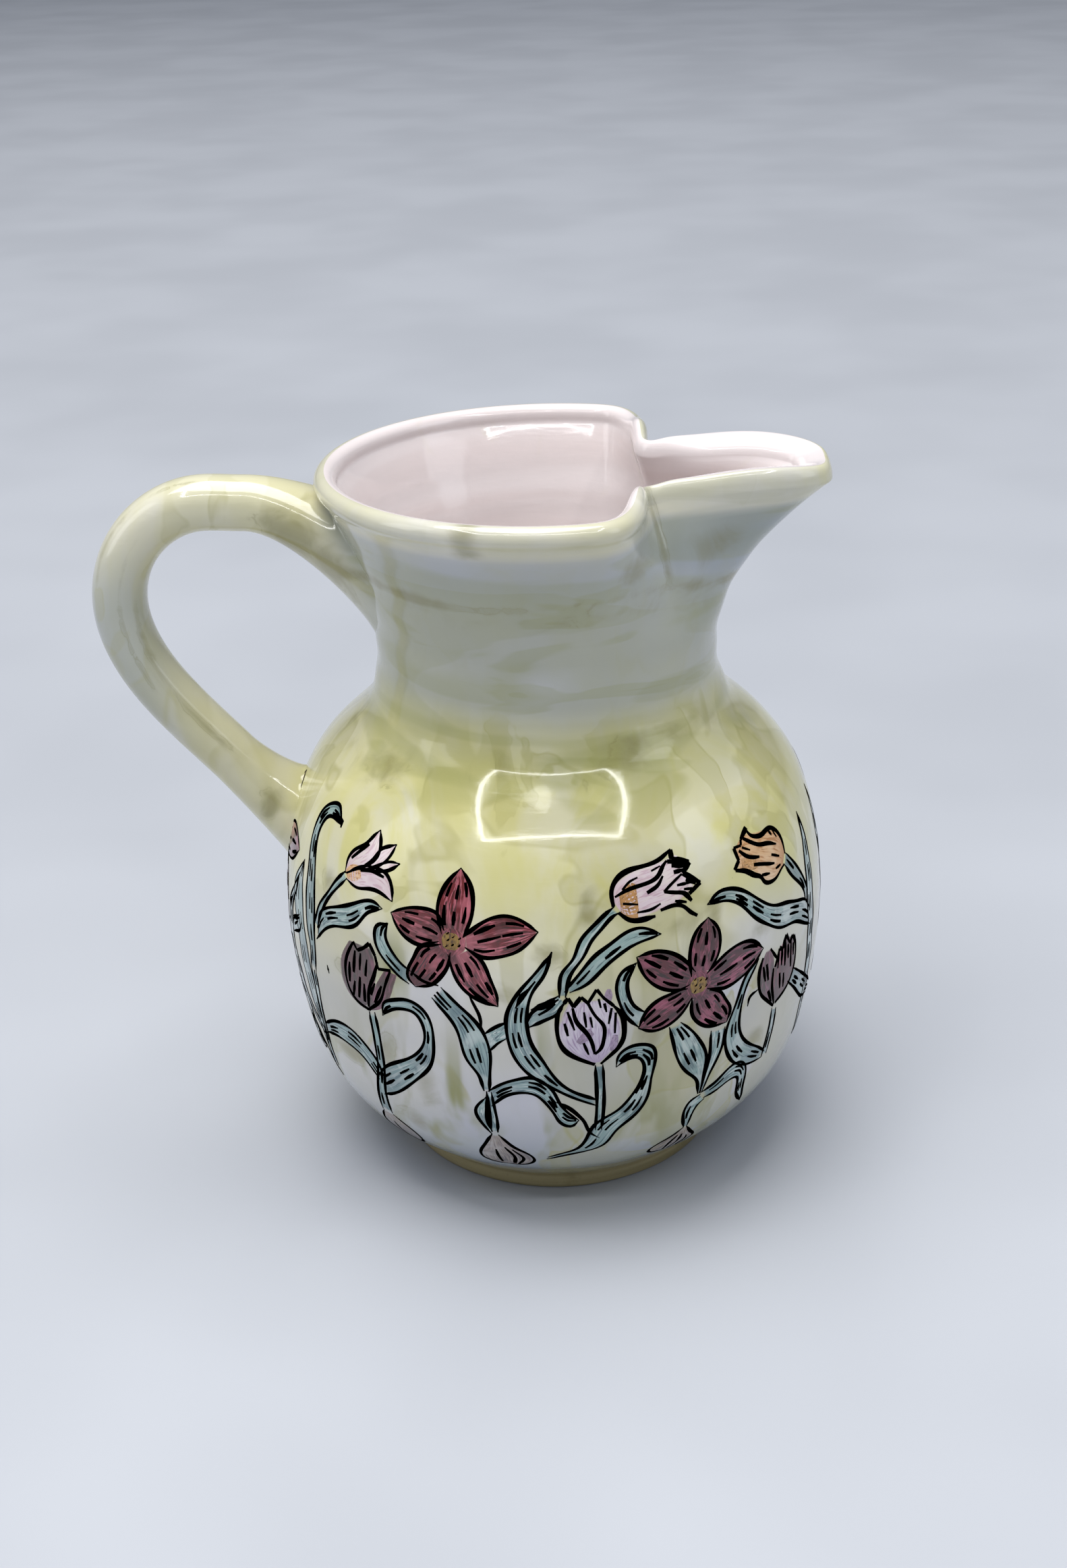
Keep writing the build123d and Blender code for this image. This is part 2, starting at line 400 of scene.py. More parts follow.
def sponged_glaze(shader):
    """The pale ground: cream glaze tinted lilac and yellow, darkened to a cool grey as painted shade, under
    the washes and olive marks.
    """
    drag = shader.noise(34, 4, 1.8, shader.stretch(1, 1, 0.35, (0.3, 0.1, 0)))
    warmth = shader.ramp(shader.noise(22, 2, 0.6), 0.35, 0.65)
    ground = shader.mix(warmth, rgb(230, 226, 208), rgb(222, 216, 178))
    ground = shader.mix(shader.attribute("lilac", 0.85), ground, rgb(200, 200, 214))
    yellow = shader.math("MULTIPLY", shader.attribute("yellow"), shader.ramp(drag, 0.36, 0.6, 0.35, 1))
    ground = shader.mix(yellow, ground, rgb(214, 208, 142))
    # Painted shade: a cool grey-blue mixed in where the mesh marks shaded places
    ground = shader.mix(shader.attribute("painted_shade"), ground, rgb(104, 126, 146))
    return olive_marks(shader, brushed_washes(shader, ground), drag)


def glaze_bumps(shader):
    """The slightly uneven, glassy surface of dipped glaze over brushed slip."""
    dragged = shader.noise(260, 3, 0.4, shader.stretch(0.5, 0.5, 3))
    return [(shader.noise(90, 2), 0.14), (dragged, 0.03), (shader.noise(900, 2), 0.01)]


def glazed_shader(name, roughness=0.13, coat=0.35):
    """The glassy surface that glaze and paint share, still without a colour."""
    return Shader(name, roughness, IOR=1.5, Coat_Weight=coat, Coat_Roughness=0.04)


def glaze(name):
    shader = glazed_shader(name)
    return shader.finish(sponged_glaze(shader), glaze_bumps(shader))


def liner_glaze():
    shader = glazed_shader("pinkish_white_liner", 0.1, 0.3)
    rings = shader.noise(30, 3, 0.4, shader.stretch(0.12, 0.12, 3))
    colour = shader.mix(shader.ramp(rings, 0.35, 0.65), rgb(238, 228, 226), rgb(230, 217, 214))
    colour = shader.mix(shader.ramp(shader.noise(55, 4, 1), 0.6, 0.75, 0, 0.25), colour, rgb(214, 206, 180))
    return shader.finish(colour, glaze_bumps(shader))


def foot_clay():
    shader = Shader("beige_foot_clay", 0.42, IOR=1.5)
    turned = shader.noise(60, 4, 0.3, shader.stretch(0.1, 0.1, 6))
    # The clay's own olive-beige, made darker as painted shade for the foot's place under the belly
    colour = shader.mix(shader.ramp(turned, 0.35, 0.65), rgb(168, 154, 112), rgb(136, 122, 80))
    colour = shader.mix(shader.ramp(shader.noise(45, 3, 0.8), 0.52, 0.68, 0, 0.6), colour, rgb(124, 112, 66))
    grit = shader.noise(1400, 2)
    colour = shader.mix(shader.ramp(grit, 0.62, 0.75, 0, 0.35), colour, rgb(120, 100, 66))
    return shader.finish(colour, [(turned, 0.12), (grit, 0.05)])


# ---------------------------------------------------------------- where the ground is tinted

ARC_HEIGHTS = np.linspace(FOOT_HEIGHT, NECK_BASE, 800)
ARC_LENGTHS = distances(np.stack([belly_radius(ARC_HEIGHTS), ARC_HEIGHTS], -1))
ARC_LENGTHS -= np.interp(EQUATOR, ARC_HEIGHTS, ARC_LENGTHS)
PAINTED_RADIUS = 72.0
# Millimetres along the wall for one degree round the painted belly, and for one millimetre of arc height
PAINT_SCALE = np.array([radians(PAINTED_RADIUS), 1.0])
BACK_TURN = 150.0

# Brushed blotches as (degrees, arc height, half width, half height), the widths in millimetres
OLIVE_BLOTCHES = [(-145, 26, 4, 3.5), (-91, 20, 4, 4), (-101, 8, 5, 3), (-64, 23, 6, 4), (-56, 22, 3, 6),
                  (-44.5, 13, 5, 3), (-45, -20, 5, 4), (-72, -5, 4, 7), (-118, -26, 4, 7), (-128, -17, 5, 6),
                  (-139, -24, 7, 4), (-123, -40, 6, 5), (-84, 30, 4, 7), (-137, 4, 5, 3), (-62, -15, 5, 3)]
LILAC_PATCHES = [(-145, 22, 9, 12), (-128, 14, 8, 6), (-140, -8, 14, 12), (-100, -32, 12, 10),
                 (-116, 12, 10, 10), (-78, -14, 10, 12), (-56, -4, 12, 10), (-40, 17, 10, 8),
                 (-130, 52, 9, 4), (-66, 40, 22, 7)]
YELLOW_AREAS = [(-141, 40, 15, 12), (-130, 47, 10, 6), (-115, 40, 8, 14), (-95, 38, 16, 12),
                (-81, 36, 8, 14), (-50, 42, 22, 14), (-30, 30, 14, 20), (-110, 60, 40, 12),
                (-60, 60, 40, 10)]
# Where upright olive brush marks show between the stems
DRIP_AREAS = [(-122, -34, 12, 14), (-112, -28, 6, 14), (-140, -38, 10, 12), (-72, -38, 8, 10),
              (-98, -6, 6, 8), (-124, 12, 5, 8), (-70, 14, 8, 6), (-50, -38, 8, 10), (-97, -38, 6, 6)]


def belly_height(arc):
    """Height on the belly for a distance along its wall from the widest place."""
    return np.interp(arc, ARC_LENGTHS, ARC_HEIGHTS)


def blotches(points, spots):
    """How strongly any of some soft spots covers each point. Each spot repeats round the pot's back."""
    angle = np.degrees(np.arctan2(points[:, 1], points[:, 0]))
    arc = np.interp(points[:, 2], ARC_HEIGHTS, ARC_LENGTHS) + np.maximum(points[:, 2] - NECK_BASE, 0)
    cover = np.zeros(len(points))
    for middle, height, half_width, half_height in spots:
        for turn in (0, BACK_TURN):
            across = ((angle - middle - turn + 180) % 360 - 180) * PAINT_SCALE[0]
            far = (across / half_width) ** 2 + ((arc - height) / half_height) ** 2
            cover = np.maximum(cover, np.exp(-0.7 * far))
    return cover


def ground_tints(points):
    """The brushed tints of the ground and its painted shade at some points, in millimetres, from 0 to 1 for
    each.
    """
    x, y, z = points.T
    angle = np.arctan2(y, x)
    turn = np.degrees(angle)
    waver = 3.5 * np.sin(2 * angle + 0.6) + 2.2 * np.sin(5 * angle + 2)
    low = 1 - smooth_step(z + waver, 60, 96)
    neck = smooth_step(z, 134, 148)
    lip = smooth_step(z, 187, 190)

    # Olive: a band at the foot of the neck, a ring round it with a soft painted shade below it, and stains
    # beside the folds and on the rim
    band = hill(z + waver, 131, 6) * (0.55 + 0.45 * np.sin(3 * angle + 2.2) * np.sin(7 * angle))
    ring_line = 168.5 - 6 * np.sin(angle + 0.2) + 1.2 * np.sin(4 * angle)
    ring = hill(z, ring_line, 1.9) * (0.6 + 0.3 * np.sin(2 * angle + 1))
    # Painted shade: a soft olive darkening just below the ring
    shade = hill(z, ring_line - 4, 4) * 0.3
    fold = hill(turn, -43, 3) * smooth_step(z, 162, 176)
    cheek = hill(turn, -62, 9) * hill(z, 181, 4)
    spout_side = hill(turn, -26, 7) * hill(z, 180, 6)
    rim_spots = hill(turn, -109, 5) + 0.7 * hill(turn, -57, 5)
    olive = [band * 0.6, ring * 1.15, shade, fold * 0.6, cheek * 0.85, spout_side * 0.7,
             lip * rim_spots * 0.75, blotches(points, OLIVE_BLOTCHES) * 0.72]

    lilac = np.clip(0.75 * low + blotches(points, LILAC_PATCHES) * 0.6, 0, 1) * (1 - neck) + 0.75 * neck
    yellow = smooth_step(z, 78, 104) * 0.55 * (1 - 0.85 * neck) + blotches(points, YELLOW_AREAS) * 0.4 + 0.1
    rim_stain = lip * (0.05 + 0.2 * np.sin(5 * angle + 1) + 0.5 * smooth_step(x, 56, 72))

    # Painted shade: a cool grey-blue tint low on the belly, on the neck, under the spout and in a band under
    # the lip
    under_spout = hill(from_spout(angle), 0, 40) * smooth_step(z, 148, 164)
    on_collar = 0.27 * neck + 0.28 * under_spout + 0.13 * hill(z, 180, 7)
    painted_shade = 0.66 * (1 - smooth_step(z + 0.5 * waver, 8, 50)) + on_collar * (1 - lip)
    return {"olive": np.maximum.reduce(olive), "lilac": lilac * (1 - 0.45 * lip),
            "yellow": np.clip(np.maximum(yellow, rim_stain), 0, 1), "wash": 1 - 0.85 * neck,
            "sweep": smooth_step(z, 116, 126) * (1 - 0.6 * lip), "painted_shade": painted_shade,
            "drip": np.clip(blotches(points, DRIP_AREAS) * 0.9 + 0.16 * low, 0, 1)}


# ---------------------------------------------------------------- the thrown body

def in_channel(angle):
    """1 inside the spout, falling to 0 at its two folds."""
    return 1 - smooth_step(from_spout(angle), 24, NOTCH_ANGLE - 2)


def on_round_mouth(angle):
    """0 on the spout, growing to 1 on the round mouth, where the lip is rolled."""
    return smooth_step(from_spout(angle), NOTCH_ANGLE, NOTCH_ANGLE + LIP_GROWTH)


def lip_inset(angle, turn):
    """Inset and height of the lip's section where turn goes from 0, outside, to 1, inside."""
    rolled = on_round_mouth(angle)
    half = NECK_WALL / 2 + LIP_BULGE * rolled
    crown = LIP_CROWN_HEIGHT + 1.2 * (1 - rolled)
    inner = turn > 0.5
    if inner:
        half = half + SPOUT_SHELF * in_channel(angle)
    if LIP_SIDE <= turn <= 1 - LIP_SIDE:
        arc = pi * (turn - LIP_SIDE) / (1 - 2 * LIP_SIDE)
        return NECK_WALL / 2 - half * cos(arc), HEIGHT - crown + crown * sin(arc)
    climb = min(turn, 1 - turn) / LIP_SIDE
    swell = climb * climb * (3 - 2 * climb)
    width = half if inner else -(NECK_WALL / 2 + (half - NECK_WALL / 2) * swell)
    return NECK_WALL / 2 + width, LIP_BASE + (HEIGHT - crown - LIP_BASE) * climb


def inner_inset(angle, z):
    """Depth of the inner wall below the lip, thicker under the lip's roll and the spout's shelf."""
    below = LIP_BASE - z
    roll = LIP_BULGE * on_round_mouth(angle) * (1 - smooth_step(below, 0, 18))
    return NECK_WALL + roll + SPOUT_SHELF * in_channel(angle) * (1 - smooth_step(below, 0, 12))


def section_rows(angle):
    """The pot's whole section as rows of points, from under the belly, up the outside, over the lip and down
    the inside. With it, the rows where neck, spout and lip start, and where the lip and inner neck end."""
    neck_levels = list(np.linspace(NECK_BASE, LIP_BASE, NECK_ROWS))
    rows = [wall_point(angle, z) for z in np.linspace(FOOT_HEIGHT, NECK_BASE, BELLY_ROWS)]
    neck_start = len(rows) - 1
    rows += [wall_point(angle, z) for z in neck_levels[1:]]
    lip_start = len(rows) - 1
    for step in range(1, LIP_STEPS + 1):
        inset, height = lip_inset(angle, step / LIP_STEPS)
        rows.append(wall_point(angle, height, inset))
    lip_end = len(rows) - 1
    rows += [wall_point(angle, z, inner_inset(angle, z)) for z in neck_levels[-2::-1]]
    neck_end = len(rows) - 1
    for radius, z in curve_through(INNER_PROFILE, INNER_ROWS)[1:]:
        rows.append(np.stack([radius * np.cos(angle), radius * np.sin(angle), np.full(COLUMNS, z)], -1))
    throat = neck_start + int(np.searchsorted(neck_levels, THROAT))
    return np.array(rows), neck_start, throat, lip_start, lip_end, neck_end


def make_body():
    """One continuous section round the pot, cut into the belly, neck, spout and lip."""
    angle = np.linspace(0, 2 * pi, COLUMNS, endpoint=False)
    grid, neck_start, throat, lip_start, lip_end, neck_end = section_rows(angle)
    flat_points, flat_normals = grid.reshape(-1, 3), grid_normals(grid).reshape(-1, 3)
    tints = ground_tints(flat_points)
    lip_middle = lip_start + LIP_STEPS // 2
    mirror = neck_end + neck_start
    last = len(grid) - 1
    wedge = from_spout(angle + pi / COLUMNS) < NOTCH_ANGLE
    painted, cream, lip_coat = glaze("painted_glaze"), glaze("cream_glaze"), glaze("lip_glaze")
    liner = liner_glaze()

    def ring(first, second, keep=lambda j: True):
        """A hidden closing ring between two rows."""
        turn = [(j, (j + 1) % COLUMNS) for j in range(COLUMNS) if keep(j)]
        return [(first * COLUMNS + k, first * COLUMNS + j, second * COLUMNS + j, second * COLUMNS + k)
                for j, k in turn]

    def cut_sides(flip):
        """The hidden faces where the spout's wall is cut from the neck's."""
        faces = []
        for j in np.flatnonzero(wedge != np.roll(wedge, 1)).tolist():
            for i in range(throat, lip_start):
                m = mirror - i
                face = (i * COLUMNS + j, (i + 1) * COLUMNS + j, (m - 1) * COLUMNS + j, m * COLUMNS + j)
                faces.append(face if wedge[j] != flip else face[::-1])
        return faces

    def on_wall(i, j, in_spout):
        """Whether a face of the wall between belly and lip belongs to the spout, or to the neck."""
        outside, inside = neck_start <= i < lip_start, lip_end <= i < neck_end
        level = i if outside else mirror - 1 - i
        return (outside or inside) and (level >= throat and wedge[j]) == in_spout

    def part(name, keep, closing, material, nodes):
        """One piece of the wall, glazed outside and lined inside, in the place of CAD nodes."""
        faces = quads(len(grid), COLUMNS, keep)
        outside = len([f for f in faces if f[0] < lip_middle * COLUMNS])
        points, faces, own_normals, values = cut_out(flat_points, flat_normals, faces + closing, tints)
        piece = make_piece(name, points, faces, material, own_normals, values)
        piece.data.materials.append(liner)
        index = [0 if n < outside else 1 for n in range(len(piece.data.polygons))]
        piece.data.polygons.foreach_set("material_index", index)
        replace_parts(piece, *nodes)

    base = [tuple(range(COLUMNS - 1, -1, -1))]
    floor = [tuple(last * COLUMNS + j for j in range(COLUMNS))]
    neck_closing = (ring(neck_start, neck_end) + cut_sides(True)
                    + ring(lip_end, lip_start, lambda j: not wedge[j])
                    + ring(mirror - throat, throat, lambda j: wedge[j]))
    spout_closing = (cut_sides(False) + ring(throat, mirror - throat, lambda j: wedge[j])
                     + ring(lip_end, lip_start, lambda j: wedge[j]))
    part("glazed_belly", lambda i, j: i < neck_start or i >= neck_end,
         ring(neck_end, neck_start) + base + floor, painted, ["belly"])
    part("glazed_neck", lambda i, j: on_wall(i, j, False), neck_closing, cream, ["neck"])
    part("glazed_spout", lambda i, j: on_wall(i, j, True), spout_closing, cream, ["spout"])
    part("glazed_lip", lambda i, j: lip_start <= i < lip_end, ring(lip_start, lip_end), lip_coat,
         ["rolled_lip"])


def make_foot():
    """The trimmed clay ring under the belly, with worn, rounded edges."""
    section = [(FOOT_BORE + 1.2, 0), (FOOT_RADIUS - 1.2, 0), (FOOT_RADIUS - 0.3, 0.35), (FOOT_RADIUS, 1.2),
               (FOOT_RADIUS + 0.3, 3), (FOOT_RADIUS + 0.9, 5.3), (FOOT_RADIUS + 1.4, 6.2),
               (FOOT_BORE - 0.8, 6.2), (FOOT_BORE - 0.4, 3), (FOOT_BORE, 1.2), (FOOT_BORE + 0.3, 0.35)]
    dense = []
    for start, end in zip(section, section[1:] + section[:1]):
        for t in np.linspace(0, 1, 4, endpoint=False):
            dense.append((start[0] + (end[0] - start[0]) * t, start[1] + (end[1] - start[1]) * t))
    angle = np.linspace(0, 2 * pi, FOOT_COLUMNS, endpoint=False)
    rows = []
    for radius, z in dense + dense[:1]:
        worn = 0.12 * np.sin(3 * angle + z) + 0.08 * np.sin(7 * angle)
        reach = radius + worn * (z > 0.1)
        rows.append(np.stack([reach * np.cos(angle), reach * np.sin(angle), np.full(FOOT_COLUMNS, z)], -1))
    grid = np.array(rows)
    count = len(dense) * FOOT_COLUMNS
    normals = grid_normals(grid).reshape(-1, 3)[:count]
    faces = [tuple(v % count for v in face) for face in quads(len(grid), FOOT_COLUMNS, lambda i, j: True)]
    piece = make_piece("clay_foot", grid.reshape(-1, 3)[:count], faces, foot_clay(), normals)
    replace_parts(piece, "foot_ring")


# ---------------------------------------------------------------- the handle

# Brushed streaks along the strap: angle round it, how far they wander, width, and start and end along it
STRAP_STREAKS = [(3.75, 0.15, 0.2, 0.4, 0.86), (2.3, 0.3, 0.16, 0.16, 0.5), (3.1, 0.2, 0.12, 0.3, 0.7),
                 (1.2, 0.3, 0.25, 0.2, 0.8), (5.6, 0.2, 0.2, 0.3, 0.8)]
# Smudges on the handle as (x, y, z, radius)
HANDLE_SMUDGES = [(-64, -9, 180, 10), (-56, -14, 172, 11), (-50, -16, 162, 10), (-64, -4, 168, 9),
                  (-44, -12, 153, 8), (-76, -8, 103, 5), (-69, -9, 93, 8)]
# Where the roots meet the wall; a negative half height turns the landing the other way up
UPPER_LANDING = {"middle": 169.0, "half_height": 20.5, "half_width": 22.0, "taper": 0.35}
LOWER_LANDING = {"middle": 97.5, "half_height": -13.0, "half_width": 12.0, "taper": 0.0}


def landing(turn, spot, size=1.0, depth=0.4):
    """Points just under the outer wall round a root's edge, for angles round the strap."""
    narrowing = 1 - spot["taper"] * np.maximum(-np.sin(turn), 0)
    y = spot["half_width"] * size * np.cos(turn) * narrowing
    z = spot["middle"] + spot["half_height"] * size * np.sin(turn)
    angle = pi - np.arcsin(np.clip(y / 60, -0.8, 0.8))
    for _ in range(12):
        radius = wall_radius(angle, z) - depth
        angle = pi - np.arcsin(np.clip(y / radius, -0.9, 0.9))
    return np.stack([radius * np.cos(angle), y, z], -1)


def root_rows(ring, direction, spot, reach, hug):
    """Rows from the strap's end ring to its landing on the wall, which leave both of them smoothly."""
    turn = np.linspace(0, 2 * pi, SECTION_POINTS, endpoint=False)
    edge, core = landing(turn, spot), landing(turn, spot, 0.5)
    pull = core - edge
    pull *= (hug * (0.35 + 0.65 * np.maximum(-np.sin(turn), 0) ** 2) / np.linalg.norm(pull, axis=1))[:, None]
    rows = []
    for t in np.linspace(0, 1, ROOT_ROWS)[1:]:
        a, b, c, d = (1 - t) ** 3, 3 * t * (1 - t) ** 2, 3 * t * t * (1 - t), t ** 3
        rows.append(a * ring + b * (ring + direction * reach) + c * (edge + pull) + d * edge)
    return rows + [landing(turn, spot, size, 2.0) for size in (0.9, 0.65, 0.4, 0.15)]


def strap_ring(place, direction, turn):
    """The strap's soft-cornered section across its line."""
    side = np.array([0.0, 1.0, 0.0])
    up = np.cross(direction, side)
    wide = np.sign(np.cos(turn)) * np.abs(np.cos(turn)) ** 0.9
    thick = np.sign(np.sin(turn)) * np.abs(np.sin(turn)) ** 0.9
    return place + np.outer(wide * STRAP_WIDTH / 2, side) + np.outer(thick * STRAP_THICKNESS / 2, up)


def handle_tints(grid, turn, first, last):
    """The handle's own tints, with streaks, smudges and painted shade, which pass into the wall's where its
    roots land.
    """
    points = grid.reshape(-1, 3)
    travelled = np.linspace(0, 1, len(grid))[:, None]
    streaks = np.zeros(grid.shape[:2])
    for side, wander, width, start, end in STRAP_STREAKS:
        middle = side + wander * np.sin(9 * travelled + side)
        reach = smooth_step(travelled, start, start + 0.08) * (1 - smooth_step(travelled, end - 0.08, end))
        streaks = np.maximum(streaks, hill(turn, middle, width) * reach)
    smudge = np.zeros(len(points))
    for spot in HANDLE_SMUDGES:
        smudge = np.maximum(smudge, hill(np.linalg.norm(points - spot[:3], axis=1), 0, spot[3]))
    # Painted shade on the outer part of the strap's loop, below its top
    painted_shade = 0.4 * smooth_step(-points[:, 0], 92, 110) * (1 - smooth_step(points[:, 2], 160, 184))
    own = {"olive": np.maximum(1.15 * smudge, 0.5 * streaks.ravel()), "lilac": 0.3, "yellow": 0.32,
           "wash": 0.6, "sweep": 0.0, "painted_shade": painted_shade, "drip": 0.0}
    rows = np.repeat(np.arange(len(grid)), SECTION_POINTS)
    on_wall = np.maximum(1 - smooth_step(rows, first - 23, first - 9),
                         smooth_step(rows, last + 9, last + 24))
    wall = ground_tints(points)
    return {label: (1 - on_wall) * numbers + on_wall * wall[label] for label, numbers in own.items()}


def make_handle():
    """The strap and its two roots: one grid from buried row to buried row, cut into three pieces."""
    line = curve_through(STRAP_LINE, STRAP_ROWS)
    line = np.stack([line[:, 0], np.zeros(len(line)), line[:, 1]], -1)
    ahead = np.gradient(line, axis=0)
    ahead /= np.linalg.norm(ahead, axis=1, keepdims=True)
    turn = np.linspace(0, 2 * pi, SECTION_POINTS, endpoint=False)
    tube = [strap_ring(p, -d, turn) for p, d in zip(line, ahead)]
    upper = root_rows(tube[0], -ahead[0], UPPER_LANDING, 12, 6)[::-1]
    lower = root_rows(tube[-1], ahead[-1], LOWER_LANDING, 7, 2)
    first, last = len(upper), len(upper) + len(tube) - 1
    grid = np.array(upper + tube + lower)
    points, normals = grid.reshape(-1, 3), grid_normals(grid).reshape(-1, 3)
    tints = handle_tints(grid, turn, first, last)
    material = glaze("handle_glaze")
    for name, start, end, node in (("handle_root_on_neck", 0, first, "handle_neck_root"),
                                   ("handle_strap", first, last, "handle"),
                                   ("handle_root_on_belly", last, len(grid) - 1, "handle_belly_root")):
        faces = quads(len(grid), SECTION_POINTS, lambda i, j: start <= i < end)
        faces.append(tuple(start * SECTION_POINTS + j for j in range(SECTION_POINTS - 1, -1, -1)))
        faces.append(tuple(end * SECTION_POINTS + j for j in range(SECTION_POINTS)))
        own, faces, own_normals, values = cut_out(points, normals, faces, tints)
        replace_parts(make_piece(name, own, faces, material, own_normals, values), node)


# ---------------------------------------------------------------- painted plants

BRUSH = 1.1
BRUSH_WEIGHT = 1.15
PAINT_LIFT = 0.05
BRUSH_SPACING = 0.8
# A brush line's section as (sideways, lift) points; the last one lies buried in the wall
BRUSH_SECTION = [(-1, -0.05), (-0.6, 0.08), (0, 0.11), (0.6, 0.08), (1, -0.05), (0, -0.25)]
WASH_SPACING = 1.1
WASH_STEPS = 13
EDGE_POINTS = 60
DASH_SPACING = 7.6
DASH_LENGTH = 5.2


def on_belly(places):
    """Points and outward normals on the belly for (degrees, arc) places."""
    angle, z = np.radians(places[..., 0]), belly_height(places[..., 1])
    slope = belly_radius(z + 0.5) - belly_radius(z - 0.5)
    normal = np.stack([np.cos(angle), np.sin(angle), -slope], -1)
    return wall_point(angle, z), normal / np.linalg.norm(normal, axis=-1, keepdims=True)


def smooth_line(places, spacing):
    """A brush line through a few (degrees, arc) places, in even steps of about a spacing in millimetres."""
    flat = np.array(places, float) * PAINT_SCALE
    length = np.linalg.norm(np.diff(flat, axis=0), axis=1).sum()
    return curve_through(flat, max(5, int(length / spacing) + 2)) / PAINT_SCALE


def both_edges(left, right):
    """The two edges of a leaf or a petal as even curves, and the gap between them in millimetres."""
    a, b = (curve_through(np.array(side, float), EDGE_POINTS) for side in (left, right))
    return a, b, np.linalg.norm((b - a) * PAINT_SCALE, axis=1)


def between(a, b, rows, lane):
    """Places on some rows of two edges: lane is -1 on the left edge and 1 on the right one."""
    return [(a[r] + b[r]) / 2 + (b[r] - a[r]) / 2 * lane for r in rows]


class Plant:
    """The thin paint of one cluster of plants: washes of colour, with black brush lines over them.
    A plant is drawn from (degrees, arc) places, and may be turned round the belly or mirrored."""

    def __init__(self, name, turn, flip):
        self.name, self.turn, self.flip = name, turn, flip
        self.chance = np.random.default_rng(len(name) * 1000 + int(turn) + 500)
        self.layers = {}
        self.washes = 0

    def carry(self, places):
        """Where this plant's places go when it is turned or mirrored."""
        return np.stack([self.turn + self.flip * places[..., 0], places[..., 1]], -1)

    def add(self, layer, points, normals, faces, **values):
        """Adds some paint to one layer of the plant."""
        empty = {"points": [], "normals": [], "faces": [], "values": {}, "count": 0}
        kept = self.layers.setdefault(layer, empty)
        kept["faces"] += [tuple(v + kept["count"] for v in face) for face in faces]
        kept["points"].append(points)
        kept["normals"].append(normals)
        for label, numbers in values.items():
            kept["values"].setdefault(label, []).append(np.broadcast_to(numbers, len(points)))
        kept["count"] += len(points)

    def brush(self, places, width=BRUSH, start=0.3, end=0.25):
        """One black line whose width swells and wanes, thinner at its two ends."""
        line = self.carry(smooth_line(places, BRUSH_SPACING))
        points, normals = on_belly(line)
        ahead = np.gradient(points, axis=0)
        side = np.cross(normals, ahead)
        side /= np.maximum(np.linalg.norm(side, axis=1, keepdims=True), 1e-9)
        t = np.linspace(0, 1, len(line))
        phase = self.chance.uniform(0, 2 * pi, 2)
        step = t * len(line)
        swell = 1 + 0.16 * np.sin(step / 5 + phase[0]) + 0.1 * np.sin(step / 2.1 + phase[1])
        length = len(line) * BRUSH_SPACING
        reach = np.minimum(length, 3.0) / length
        taper = np.minimum(start + (1 - start) * smooth_step(t, 0, reach),
                           end + (1 - end) * smooth_step(1 - t, 0, reach))
        half = (BRUSH_WEIGHT * width / 2 * swell * taper)[:, None]
        rows = [points + side * half * s + normals * lift for s, lift in BRUSH_SECTION]
        turned = [normals if lift > -0.2 else -normals for _, lift in BRUSH_SECTION]
        around = len(BRUSH_SECTION)
        last = (len(line) - 1) * around
        faces = quads(len(line), around, lambda i, j: True)
        faces += [tuple(range(around - 1, -1, -1)), tuple(range(last, last + around))]
        self.add("outline", np.stack(rows, 1).reshape(-1, 3), np.stack(turned, 1).reshape(-1, 3), faces)

    def wash(self, left, right, layer, bleed=0.35, tone=0.5, lift=0.0):
        """A wash of colour between two edges, bleeding a little past them. It lies over earlier washes."""
        self.washes += 1
        length = np.abs(np.diff(np.array(left, float), axis=0)).sum()
        count = max(8, int(length / WASH_SPACING))
        a, b = (curve_through(np.array(side) * PAINT_SCALE, count) for side in (left, right))
        middle, half = (a + b) / 2, (b - a) / 2
        ahead = np.gradient(middle, axis=0)
        across = np.stack([-ahead[:, 1], ahead[:, 0]], -1)
        across *= np.sign((across * half).sum(0).sum() or 1)
        across /= np.maximum(np.linalg.norm(across, axis=1, keepdims=True), 1e-9)
        steps = np.linspace(-1, 1, WASH_STEPS)
        grid = middle[:, None] + half[:, None] * steps[:, None] + bleed * across[:, None] * steps[:, None]
        points, normals = on_belly(self.carry(grid / PAINT_SCALE))
        along = np.linspace(0, 1, count)[:, None] * np.ones(WASH_STEPS)
        edge = np.clip(np.minimum(1 - np.abs(steps), np.minimum(along, 1 - along) * 4) * 3, 0, 1)
        top = PAINT_LIFT + lift + 0.0008 * self.washes
        points = points + normals * (top * np.sqrt(edge) - 0.04 * (edge <= 0))[..., None]
        faces = quads(count, WASH_STEPS, lambda i, j: j < WASH_STEPS - 1)
        number = np.arange(count * WASH_STEPS).reshape(count, WASH_STEPS)
        rim = [*number[0], *number[1:, -1], *number[-1, -2::-1], *number[-2:0:-1, 0]]
        faces.append(tuple(int(v) for v in rim[::-1]))
        if self.winding(points) > 0:
            faces = [face[::-1] for face in faces]
        width = np.abs(np.linalg.norm(half, axis=1)).max()
        self.add(layer, points.reshape(-1, 3), normals.reshape(-1, 3), faces, edge=edge.ravel(),
                 along=along.ravel(), across=(np.ones((count, 1)) * steps[None, :] * width / 4).ravel(),
                 tone=tone)

    @staticmethod
    def winding(points):
        """Positive where a grid's faces would point into the wall."""
        middle = len(points) // 2
        centre = WASH_STEPS // 2
        run = points[middle + 1, centre] - points[middle, centre]
        wide = points[middle, centre + 1] - points[middle, centre - 1]
        outward = np.array([*points[middle, centre][:2], 0])
        return -float(np.dot(np.cross(wide, run), outward))

    def strokes(self, width, *lines):
        """Brush lines with blunt ends, each through a few places."""
        for places in lines:
            self.brush(places, width, 0.75, 0.6)

    def teeth(self, *corners, width=1.25):
        """A ragged edge of straight strokes from corner to corner."""
        for start, end in zip(corners, corners[1:]):
            self.brush([start, end], width, 0.9, 0.8)

